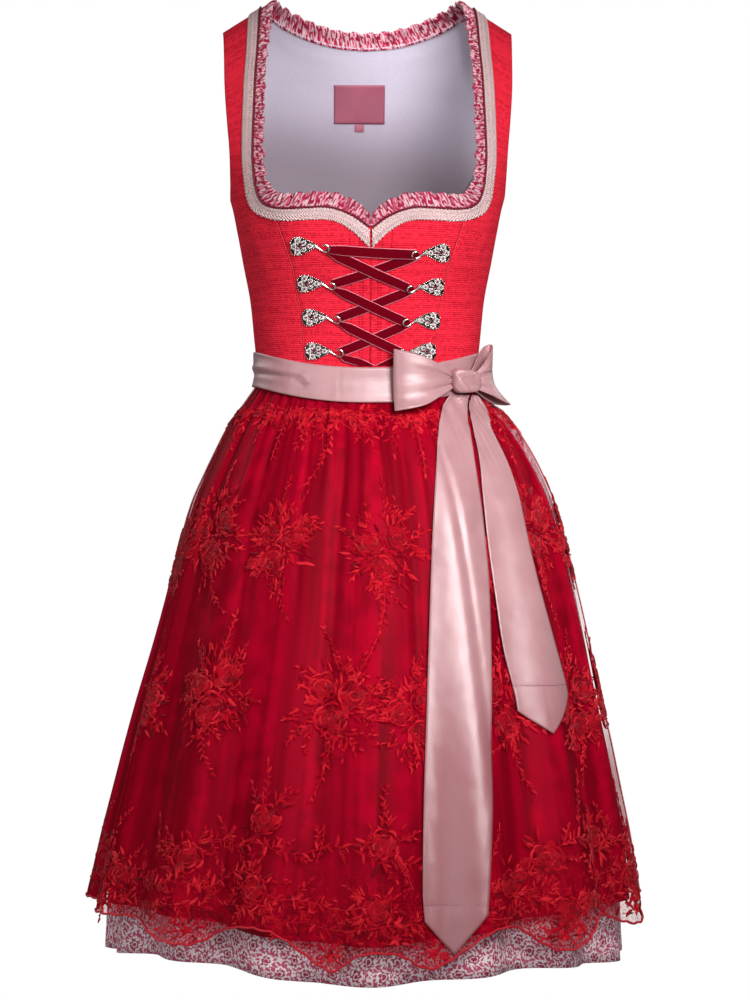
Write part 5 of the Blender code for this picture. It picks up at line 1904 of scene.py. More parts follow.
@dataclass
class Lacing:
    """Silver hooks with stones, and the velvet ribbon laced between them.

    The rows hold the number of the pair, then half width and drop of the right and the left eye.
    """

    body: BodiceBlock
    skirt: SkirtBlock
    wardrobe: Wardrobe
    rows: Table = (
        (1, 44.5, 243, 43.8, 249), (2, 37.6, 279, 39, 282), (3, 32.5, 313, 35.3, 316),
        (4, 29.6, 347, 31.6, 347)
    )
    plate_base: float = 3.9
    ribbon_half: float = 4.9
    ribbon_rear: float = 4.3
    ribbon_front: float = 5.6
    ribbon_bar: float = 6.9
    ribbon_wall: float = 0.8
    # Teardrop plate from its narrow to its broad end: distance outwards, half height
    plate: Table = ((8, 0.9), (11, 2.2), (15, 4.3), (19, 6.3), (24, 8.1), (28, 8.5), (31.5, 7), (33.6, 3))
    # Little flowers of crystals: distance outwards, aside, radius
    flowers: Table = (
        (30.0, 0, 2.4), (26.6, 5.2, 2.5), (26.6, -5.2, 2.5), (20.6, 3.2, 1.9), (20.6, -3.2, 1.9),
        (15.0, 0, 2.1), (11.0, 0, 1.3)
    )
    garnets: Table = (
        (26.9, 1.7, 1.25), (26.9, -1.7, 1.25), (22.9, 0, 1.5), (21.4, 2.9, 0.95), (21.4, -2.9, 0.95),
        (18.3, 0, 1.15)
    )
    # The hook's wire, from the plate down to the ribbon's end and back over its corner
    route: Table = (
        (9.6, 0.2, 4.6), (6.4, 2.4, 4.7), (2.6, 4.7, 5.0), (-1.2, 5.6, 6.2), (-3.4, 3.4, 8.2),
        (-3.2, 0.6, 9.0), (-1.2, -1.4, 9.2), (1.4, -1.7, 9.0), (3.3, -0.2, 8.2)
    )
    # Where a ribbon ends, outwards from the eye and below it
    bar_ends: Table = ((-3.2, 3.0), (0.5, 1.6))
    front_ends: Table = ((-0.6, 4.6), (-2.6, 0.8))
    rear_ends: Table = ((4.2, 2.4), (-1.2, 0.9))
    last_feet: tuple[tuple[int, float], ...] = ((-1, -3.6), (1, 14.0))
    sash_top: float = -18.7

    def build(self) -> None:
        """Build the eight hooks, then the ribbon."""
        relief = self.hook()
        for number, right_x, right_drop, left_x, left_drop in self.rows:
            for (word, side), eye_x, eye_drop in zip(SIDES, (right_x, left_x), (right_drop, left_drop)):
                def place(
                    flat: Array, side: int = side, eye_x: float = eye_x, eye_drop: float = eye_drop
                ) -> Array:
                    """Lay the flat hook beside its eye."""
                    return self.body.on_front(side * (eye_x + flat[:, 0]), eye_drop + flat[:, 1], flat[:, 2])

                node = f"hook_{int(number)}_{word}"
                stuffs = [self.wardrobe.silver, self.wardrobe.crystal, self.wardrobe.garnet]
                settle(relief.build(f"{node}_silver", place, stuffs), "hook_silver", [node])
        self.ribbons()

    def hook(self) -> Relief:
        """Shape one hook flat: dark plate, beaded rim, flowers of crystals, garnets and the wire."""
        relief = Relief()
        base = self.plate_base
        share, side = grid(steps(24), np.linspace(-1, 1, 9))
        reach = mix(self.plate[0][0], self.plate[-1][0], share)
        half = along(self.plate, reach, 1) - 0.6
        relief.add(np.stack([reach, half * side, base + 0.5 * (1 - side**2)], axis=-1), tone=0.0)
        relief.add(np.stack([reach, -half * side, base - 0.5 + 0 * side], axis=-1), tone=0.0)
        reach = np.linspace(self.plate[0][0], self.plate[-1][0], 200)
        half = along(self.plate, reach, 1)
        run = np.cumsum(np.hypot(np.diff(reach, prepend=reach[0]), np.diff(half, prepend=half[0])))
        for place in np.arange(0, run[-1], 2.1):
            x, y = float(np.interp(place, run, reach)), float(np.interp(place, run, half))
            for side in (-1, 1):
                relief.bead((x, side * y, base + 0.4), 0.78, 0.85)
        for x, y, size in self.flowers:
            relief.stone((x, y, base + 1.6), 0.42 * size, 0.6, 2)
            for turn in range(0, 360, 60):
                away = math.radians(turn + 17 * x)
                spot = (x + 0.86 * size * math.cos(away), y + 0.86 * size * math.sin(away), base + 1.0)
                relief.stone(spot, 0.5 * size, 0.6, 1)
        turn = np.linspace(0, 2 * math.pi, 17)
        for x, y, size in self.garnets:
            relief.stone((x, y, base + 1.2), size, 0.6, 2)
            ring_x, ring_y = x + 1.15 * size * np.cos(turn), y + 1.15 * size * np.sin(turn)
            relief.tube(
                np.stack([ring_x, ring_y, np.full(17, base + 1.1)], axis=-1), np.full(17, 0.27), 5, tone=0.95
            )
        for scroll in (-1, 1):
            for x, y, size in ((13.2, 1.2, 1.0), (17.6, 2.3, 1.3), (23.2, 4.0, 1.2), (29.4, 2.4, 1.1)):
                bend = np.linspace(0.4, 5.4, 22)
                grow = size * (0.35 + 0.65 * bend / 5.4)
                path = np.stack(
                    [x + grow * np.cos(bend), scroll * (y + grow * np.sin(bend)), np.full(22, base + 1)],
                    axis=-1
                )
                relief.tube(path, np.full(22, 0.3), 6, tone=0.9)
        table = tuple((index, *point) for index, point in enumerate(self.route))
        last = len(table) - 1
        places = np.linspace(0, last, 70)
        path = np.stack([along(table, places, column) for column in (1, 2, 3)], axis=-1)
        relief.tube(path, np.interp(places, (0, 1.5, last - 1, last), (1.5, 0.95, 0.85, 0.5)), 10, tone=1.0)
        return relief

    def eye(self, number: int, side: int, end: tuple[float, ...] = (-1.5, 0.0)) -> Array:
        """Where a ribbon ends at the eye of a hook."""
        right_x, right_drop, left_x, left_drop = self.rows[number - 1][1:]
        x, drop = (right_x, right_drop) if side < 0 else (left_x, left_drop)
        return np.array([side * (x + end[0]), drop + end[1]])

    def strip(self, node: str, start: Array, stop: Array, middle: float, point: float = 1.0) -> None:
        """Lay one stretch of ribbon.

        Args:
            node: The solid that it stands for.
            start: Half width and drop of its first end.
            stop: Half width and drop of its last end.
            middle: Distance of its middle from the block.
            point: Share of its width at the first end, where a hook draws it together.
        """
        length = float(np.linalg.norm(stop - start))
        run = (stop - start) / length
        u, v = grid(steps(60), np.linspace(-1, 1, 11))
        narrow = mix(point, 1.0, smooth(u * length / 15))
        across = np.array([-run[1], run[0]])
        place = start + (stop - start) * u[..., None] + across * (v * narrow * self.ribbon_half)[..., None]
        ends = smooth(1 - np.minimum(u, 1 - u) * length / 14)
        bend = 0.5 * ends * np.cos(2.2 * math.pi * v + 0.6) + 0.3 * np.sin(math.pi * u) * np.cos(9 * u + v)
        hang = 1.3 * np.sin(math.pi * u) * abs(run[0]) ** 8
        points = self.body.on_front(place[..., 0], place[..., 1] + hang, middle + bend - 0.25 * v**2)
        places = np.stack([u * length, v * self.ribbon_half], axis=-1)
        self.velvet(node, points, places, True)

    def velvet(self, node: str, points: Array, places: Array, inwards: bool) -> None:
        """Make one stretch of ribbon of its points."""
        ClothPiece(
            f"{node}_ribbon", points, places, self.ribbon_wall, [self.wardrobe.velvet], "lace_velvet", [node],
            Held.STRETCHED, ["hook_1_right_silver"], inwards=inwards
        ).build()

    def ribbons(self) -> None:
        """Lace the ribbon: one bar, then falling and rising stretches, then the tucked ends."""
        first, last = self.bar_ends
        self.strip("lace_bar", self.eye(1, -1, first), self.eye(1, 1, last), self.ribbon_bar, 0.8)
        for row in (1, 2, 3):
            first, last = self.front_ends
            ends = self.eye(row, -1, first), self.eye(row + 1, 1, last)
            self.strip(f"lace_front_{row}", *ends, self.ribbon_front, 0.45)
            first, last = self.rear_ends
            ends = self.eye(row, 1, first), self.eye(row + 1, -1, last)
            self.strip(f"lace_rear_{row}", *ends, self.ribbon_rear, 0.8)
        foot = float(self.skirt.waist_drop(0.2)) + self.sash_top
        for (side, foot_x), node, middle in zip(
            self.last_feet, ("lace_front_4", "lace_rear_4"), (self.ribbon_front, self.ribbon_rear)
        ):
            start = self.eye(4, side, self.front_ends[0] if side < 0 else self.rear_ends[0])
            u, v = grid(steps(24), np.linspace(-1, 1, 9))
            x = mix(start[0], foot_x, u) - side * v * mix(1.2, 9, smooth(u * 2) if side < 0 else u)
            drop = mix(start[1] - 3.4 * v * mix(0.5, 1, u), foot, u)
            points = self.body.on_front(x, drop, middle)
            self.velvet(node, points, np.stack([u * 30, v * self.ribbon_half], axis=-1), side < 0)


@dataclass
class Sash:
    """Satin band of the apron, its tie round the back, the bow and the two hanging ends."""

    skirt: SkirtBlock
    wardrobe: Wardrobe
    apron_off: Table
    # Distance below the waist seam, middle of the wall
    section: Table = ((-17.5, 4.6), (-7, 5.4), (5, 6.8), (18, 7.8))
    wall: float = 1.2
    end_wall: float = 1.0
    girth: float = 125
    front: tuple[float, float] = (-96.67, 93.33)
    bow_angle: float = 47.5
    bow_drop: float = 376
    bow_turn: float = 98
    knot_half: tuple[float, float, float] = (15, 12.5, 7.6)
    knot_middle: float = 18.4
    loop_path: Table = (
        (0, 0, 15.6), (0.15, 0.25, 20.5), (0.3, 0.55, 23.5), (0.42, 0.86, 22.5), (0.5, 1, 17),
        (0.58, 0.9, 12.2), (0.7, 0.6, 10.1), (0.85, 0.3, 9.9), (1, 0, 9.9)
    )
    loop_height: Table = ((0, 8), (0.3, 17), (0.6, 26), (1, 32))
    loop_root: float = 15.5
    loop_reach: tuple[tuple[str, float], ...] = (("right", -67), ("left", 44))
    loop_rise: tuple[tuple[str, float], ...] = (("right", 0), ("left", 8))
    tail_long: Table = (
        (390.5, 77, 96.5), (404, 71, 95.5), (431, 67, 100), (491, 62, 109), (538, 59.5, 114),
        (584, 57.5, 117), (700, 53, 115), (788, 49.5, 112), (875, 48, 107), (901, 50, 105.5), (935, 51, 105)
    )
    tail_long_foot: Table = ((0, 902), (0.5, 933), (1, 895))
    tail_short: Table = (
        (390.5, 98.5, 104), (404, 97.5, 116), (427, 103, 123), (458, 109, 136), (491, 112, 146),
        (538, 116.5, 155), (586, 122.5, 166), (643, 131, 182), (690, 143, 197), (727, 148, 203)
    )
    tail_short_foot: Table = ((0, 704), (0.5, 727), (1, 689))
    tail_hem: float = 8
    stitch_pitch: float = 3.4
    stitch_length: float = 2.3
    stitch_radius: float = 0.28
    tail_lift: Table = ((390, 7.4), (404, 4.2), (425, 2.4), (460, 2.1), (700, 2.9), (940, 3.6))
    # Creases of the band, in degrees round the waist and millimetres below the seam
    band_creases: tuple[Crease, ...] = (
        Crease((-96, 0), (-34, -7), 3.4, 2.2), Crease((-94, 6), (-38, 0), 3.0, -2.3),
        Crease((-33, -7), (-27, 2), 2.6, 1.6), Crease((-38, 1), (-31, 8), 2.6, -1.5),
        Crease((-84, -14), (-52, -13), 3.0, -0.9), Crease((-12, -19), (-12.4, 19), 0.9, -0.55),
        Crease((12, -16), (17, 14), 3.0, -0.9), Crease((78, -10), (60, 6), 4.0, -1.2)
    )
    tie_creases: tuple[Crease, ...] = (
        Crease((98, -6), (140, 2), 3.4, -1.2), Crease((120, 8), (176, 5), 3.2, 1.0),
        Crease((170, -9), (222, -3), 3.4, -1.1), Crease((214, 6), (258, 3), 3.0, 1.0)
    )

    def build(self) -> None:
        """Build the band, the tie, the bow and its ends."""
        start, stop = self.front
        self.band("apron_band", mix(start, stop, np.linspace(0.0007, 0.9993, 200)), self.band_creases)
        self.band(
            "apron_tie_back", mix(stop, start + 360, np.linspace(0.0008, 0.9992, 170)), self.tie_creases
        )
        self.knot()
        for word, reach in self.loop_reach:
            self.loop(word, reach)
        self.tail("tail_long", self.tail_long, self.tail_long_foot)
        self.tail("tail_short", self.tail_short, self.tail_short_foot)

    def band(self, node: str, degrees: Array, creases: Sequence[Crease]) -> None:
        """Make one stretch of the band round the waist."""
        low, high = self.section[0][0], self.section[-1][0]
        angle, below = grid(degrees, np.linspace(low, high, 21))
        off = straight(self.section, below, 1) + creased(angle, below, creases) * 0.8
        edge = np.minimum(below - low, high - below)
        off = off - 0.35 * np.exp(-((edge / 1.2) ** 2))
        turned = np.radians(angle)
        points = self.skirt.on_waist(turned, below, off)
        places = np.stack([turned * self.girth, below], axis=-1)
        ClothPiece(
            f"{node}_satin", points, places, self.wall, [self.wardrobe.sash], "sash_satin", [node],
            Held.STRETCHED, ["front_side_right_cloth"], inwards=True
        ).build()

    def on_bow(self, sideways: Array, up: Array, off: Array) -> Array:
        """Point in the bow's flat frame, laid round the waist."""
        angle = math.radians(self.bow_angle) + sideways / self.bow_turn
        return self.skirt.on_waist(angle, self.bow_drop - up - self.skirt.waist_drop(angle), off)

    def knot(self) -> None:
        """Shape the knot: a soft block with slanted pinch folds."""
        around, over = grid(np.linspace(0, 2 * math.pi, 65), np.linspace(0.04, math.pi - 0.04, 41))
        x = power(np.sin(over) * np.cos(around), 0.6)
        y = power(np.sin(over) * np.sin(around), 0.6)
        z = power(np.cos(over), 0.6)
        size = (np.abs(x) ** 4 + np.abs(y) ** 4 + np.abs(z) ** 4) ** 0.25
        x, y, z = x / size, y / size, z / size
        front = smooth((0.35 - y) / 0.6)
        slant = x + 0.55 * z
        folds = 0.13 * np.cos(2.6 * math.pi * slant + 0.5) + 0.05 * np.cos(6.3 * math.pi * slant + 1.4)
        depth = 1 + folds * front
        side = 1 - 0.16 * smooth((z - 0.1) / 0.9) * np.sign(x) - 0.1 * np.abs(z) ** 3
        points = self.on_bow(
            x * side * self.knot_half[0], z * (1 - 0.12 * x) * self.knot_half[1],
            self.knot_middle - y * depth * self.knot_half[2]
        )
        places = np.stack([x * 20 + y * 9, z * 16], axis=-1)
        item = make_mesh(
            "bow_knot_satin", points.reshape(-1, 3), grid_faces(*points.shape[:2]),
            places.reshape(-1, 2) * MM, None
        )
        item.data.materials.append(self.wardrobe.sash)
        settle(item, "sash_satin", ["bow_knot"])

    def loop(self, word: str, reach: float) -> None:
        """Bend one loop of the bow, with creases that run out from the knot."""
        v, u = grid(np.linspace(-1, 1, 33), steps(110))
        out = along(self.loop_path, u, 1)
        half = along(self.loop_height, out, 1)
        middle = along(self.loop_path, u, 2)
        front = smooth((0.52 - u) / 0.1)
        near = np.clip(1 - out, 0.0, 1.0)
        phase = 0.7 if reach < 0 else 2.1
        ribs = 1.5 * near**1.4 * np.cos(2.4 * math.pi * v + phase) + 0.6 * near**2 * np.cos(6 * math.pi * v)
        sweep = 1.6 * np.sin(2.1 * out + 1.4 * v + phase) * smooth(out / 0.4) * front
        lean = np.where(reach < 0, 0.08, 0.1) * out * half * v
        rise = dict(self.loop_rise)[word] * out
        root = math.copysign(self.loop_root, reach)
        sideways = mix(root, reach, out) + (np.sign(reach) * 2.6 * out * np.cos(1.3 * v + 0.4) - lean) * front
        off = middle + (ribs * 0.8 + sweep * 0.7) * (0.25 + 0.75 * front)
        points = self.on_bow(sideways, half * v + rise, off)
        places = np.stack([half * v, u * 2 * abs(reach - root)], axis=-1)
        ClothPiece(
            f"bow_loop_{word}_satin", points, places, self.end_wall, [self.wardrobe.sash], "sash_satin",
            [f"bow_loop_{word}"], Held.FOLDED, ["bow_knot_satin"], inwards=reach > 0
        ).build()

    def tail(self, node: str, edges: Table, foot: Table) -> None:
        """Hang one end of the sash over the apron, with its hem seam and pointed foot."""
        u, v = grid(steps(27), steps(140))
        drop = mix(edges[0][0], straight(foot, u, 1), v)
        x = mix(along(edges, drop, 1), along(edges, drop, 2), u)
        angle, share = self.lay(x, drop)
        lift = along(self.apron_off, share, 2) + along(self.tail_lift, drop, 1)
        width = along(edges, drop, 2) - along(edges, drop, 1)
        across = (u - 0.5) * width
        hem = straight(foot, u, 1).min() - self.tail_hem
        seam = -0.5 * np.exp(-(((drop - hem) / 1.1) ** 2))
        mitre = -0.45 * np.exp(-((across / 0.9) ** 2)) * smooth((drop - hem) / 6)
        top = 1.3 * (1 - smooth((drop - edges[0][0]) / 90)) * np.cos(2.2 * math.pi * u + 0.6)
        long_fold = 0.9 * np.sin(math.pi * (1.4 * u + drop / 260)) * smooth((drop - 420) / 160)
        points = self.skirt.on(angle, share, lift + seam + mitre + 0.8 * top + 0.6 * long_fold + 0.4)
        places = np.stack([across, drop], axis=-1)
        item = ClothPiece(
            f"{node}_satin", points, places, self.end_wall, [self.wardrobe.sash], "sash_satin", [node],
            Held.HUNG, ["bow_knot_satin", "apron_net_cloth"], inwards=True
        ).build()
        self.hem_stitches(item.name, edges, hem)

    def lay(self, x: Array, drop: Array) -> tuple[Array, Array]:
        """Angle and share at which the apron reaches x at a drop."""
        skirt = self.skirt
        share = (drop - skirt.waist) / (skirt.hem - skirt.waist)
        angle = np.zeros_like(drop)
        for _ in range(3):
            level = mix(skirt.waist, skirt.hem, share)
            reach = along(skirt.rows, level, 1) + along(self.apron_off, share, 2)
            angle = ring_angle(x - along(skirt.rows, level, 5), reach, along(skirt.rows, level, 4))
            share = skirt.share_at(angle, drop)
        return angle, share

    def hem_stitches(self, name: str, edges: Table, hem: float) -> None:
        """Sew the row of stitches across a hanging end, above its point."""
        relief = Relief()
        drop = np.full(1, hem - 1.5)
        left = float(along(edges, drop, 1)[0]) + 1.5
        right = float(along(edges, drop, 2)[0]) - 1.5
        for start in np.arange(left, right - 2, self.stitch_pitch):
            x = np.linspace(start, start + self.stitch_length, 5)
            angle, share = self.lay(x, np.full(5, hem - 1.5))
            lift = along(self.apron_off, share, 2) + along(self.tail_lift, np.full(5, hem), 1) + 1.35
            height = np.array([-0.2, 0.1, 0.2, 0.1, -0.2])
            path = self.skirt.on(angle, share, lift + height)
            out = self.skirt.normal(angle, share)
            relief.add(tube_grid(path, out, np.full(5, self.stitch_radius), 6))
        relief.sew(f"{name}_stitches", self.wardrobe.sash_thread, "sash_satin")


@dataclass
class Skirt:
    """Four gathered panels of printed cotton."""

    block: SkirtBlock
    wardrobe: Wardrobe
    column_angle: float = 3.75
    # Panel, first and last column
    panels: tuple[tuple[str, int, int], ...] = (
        ("skirt_front", -13, 13), ("skirt_side_left", 13, 35), ("skirt_back", 35, 61),
        ("skirt_side_right", 61, 83)
    )
    fineness: int = 5
    wall: float = 1.5
    parting: float = 0.25
    seam_gap: float = 0.3
    waist_gap: float = 0.6
    # How far the cloth that the apron hides is sunk, and to what degrees on both sides
    sink: float = 1.4
    sink_end: float = 82
    sink_fade: float = 10
    # Length of the cloth and height, width and depth of the hem's sewn line
    length: float = 600
    hem_line: float = 22
    hem_line_width: float = 1.6
    hem_line_depth: float = 0.5
    # Shares of the rows round that line and at the foot
    hem_rows: tuple[float, ...] = (0.9608, 0.9633, 0.9658, 0.98, 1.0)
    hem_radius: float = 262
    fullness: float = 1.06
    # How much the hem is lifted, by degrees round the skirt
    hem_lift: Table = (
        (-180, 0), (-90, 8), (-62, 16), (-42, 16), (-31, 13), (-20, 5), (-8, 0), (10, 2), (25, 7), (40, 9),
        (55, 6), (75, 2), (180, 0)
    )

    def build(self) -> None:
        """Build the panels."""
        top = self.waist_gap / (self.block.hem - self.block.waist)
        rows = np.concatenate([np.linspace(top, 0.2, 26)[:-1], np.linspace(0.2, 0.95, 32), self.hem_rows])
        for node, first, last in self.panels:
            count = (last - first) * self.fineness + 1
            degrees = self.column_angle * np.linspace(first, last, count)
            angle, share = grid(np.radians(degrees), rows)
            around = (degrees + 180) % 360 - 180
            lift = along(self.hem_lift, around, 1)
            share = share * (1 - lift / (self.block.hem - self.block.waist))[None, :]
            parting = self.parting + self.seam_gap * (1 - smooth(share / self.block.gather_fade))
            drop = mix(self.block.waist, self.block.hem, share)
            turn = parting / along(self.block.rows, drop, 2)
            angle[:, 0] += turn[:, 0]
            angle[:, -1] -= turn[:, -1]
            above = (share[-1:] - share) * self.length - self.hem_line
            hem = self.hem_line_depth * np.exp(-((above / self.hem_line_width) ** 2))
            sunk = self.sink * smooth((self.sink_end - np.abs(around)) / self.sink_fade)[None, :]
            points = self.block.on(angle, share, self.wall / 2 - hem - sunk)
            places = np.stack([angle * self.hem_radius * self.fullness, share * self.length], axis=-1)
            ClothPiece(
                f"{node}_cloth", points, places, self.wall, [self.wardrobe.skirt, self.wardrobe.skirt_inside],
                "skirt_cotton", [node], Held.GATHERED, ["apron_band_satin"], inwards=True
            ).build()


@dataclass
class Apron:
    """Satin lining and net of the apron, with the corded scallops of its hem."""

    block: SkirtBlock
    wardrobe: Wardrobe
    # Share of the skirt's length, middle of the lining, middle of the net
    off: Table = (
        (0, 2.4, 3.9), (0.1, 2.6, 4.2), (0.33, 3.4, 5.8), (0.56, 5, 9), (0.78, 9.5, 16), (0.9, 12.5, 24),
        (1, 16, 30)
    )
    top: float = 3
    net_hem: Table = (
        (-97.5, 903), (-84, 906), (-70, 909), (-57, 911), (-41, 929), (-31, 911), (-21, 911), (-9, 948),
        (-3.3, 932), (4, 931), (12, 947), (23.3, 912), (31, 912), (42, 936), (55, 908), (70, 922), (84, 904),
        (97.5, 903)
    )
    lining_hem: Table = ((-90, 898), (-40, 906), (-12, 923), (10, 923), (36, 905), (75, 900))
    # Degrees that the lining is cut back by at its left edge, by share of its length
    trim: Table = ((0, 9), (0.1, 9), (0.22, 5), (0.5, 3), (0.75, 1.5), (0.9, 0), (1, 0))
    trim_start: float = 50
    column_angle: float = 0.75
    net_columns: tuple[float, float] = (-97.5, 97.5)
    lining_columns: tuple[float, float] = (-90, 75)
    cord_radius: float = 1.3
    side_cord_radius: float = 0.7
    side_cord_top: float = 400
    # Places on the cloth: millimetres for each radian, and its length
    girth: float = 275
    length: float = 600

    def build(self) -> None:
        """Build the lining, the net and the cord along the net's hem."""
        self.layer(
            "apron_lining", self.lining_hem, 1, self.lining_columns, 0.8, self.wardrobe.apron, "apron_satin"
        )
        self.layer("apron_net", self.net_hem, 2, self.net_columns, 0.0, self.wardrobe.net, "apron_net")
        self.hem_cord()

    def layer(
        self, node: str, hem: Table, column: int, ends: tuple[float, float], wall: float, finish: Material,
        slot: str
    ) -> None:
        """Make one layer of the apron.

        Args:
            node: The solid that it stands for.
            hem: Drop of its lower edge at angles round the skirt.
            column: Its column in the table of offsets.
            ends: Its side edges, in degrees.
            wall: Its thickness, or 0 for a single layer.
            finish: Its material.
            slot: The record's material slot.
        """
        count = round((ends[1] - ends[0]) / self.column_angle) + 1
        shares = np.concatenate([np.linspace(0, 0.2, 26)[:-1], np.linspace(0.2, 1, 46)])
        degrees, part = grid(np.linspace(*ends, count), shares)
        if column == 1:
            cut = along(self.trim, part, 1)
            degrees = degrees - cut * np.clip((degrees - self.trim_start) / (ends[1] - self.trim_start), 0, 1)
        angle = np.radians(degrees)
        first = self.top / (self.block.hem - self.block.waist_drop(angle))
        last = self.block.share_at(angle, along(hem, degrees, 1))
        share = mix(first, last, part)
        points = self.block.on(angle, share, along(self.off, share, column))
        places = np.stack([angle * self.girth, share * self.length], axis=-1)
        ClothPiece(
            f"{node}_cloth", points, places, wall, [finish], slot, [node], Held.GATHERED,
            ["apron_band_satin"], inwards=True
        ).build()

    def hem_cord(self) -> None:
        """Cord the scalloped hem, with a small ripple, and cord the net's side edges."""
        relief = Relief()
        degrees = np.linspace(self.net_columns[0], self.net_columns[1], 700)
        ripple = 1.6 * np.abs(np.sin(degrees * 0.9)) * smooth(np.abs(np.sin(degrees * 0.11)) + 0.3)
        drop = along(self.net_hem, degrees, 1) + ripple - 1.2
        self.run(relief, degrees, drop, self.cord_radius)
        for edge in self.net_columns:
            down = np.linspace(self.side_cord_top, float(along(self.net_hem, edge, 1)) - 2, 120)
            self.run(relief, np.full(120, edge), down, self.side_cord_radius)
        relief.sew("apron_hem_cord", self.wardrobe.cord, "apron_net")

    def run(self, relief: Relief, degrees: Array, drop: Array, radius: float) -> None:
        """Lay one cord on the net."""
        angle = np.radians(degrees)
        share = self.block.share_at(angle, drop)
        path = self.block.on(angle, share, along(self.off, share, 2))
        length = run_length(path)
        out = self.block.normal(angle, share)
        uv = cord_places(length, 6)
        relief.add(tube_grid(path, out, np.full(len(path), radius), 6), tone=0.6, uv=uv)


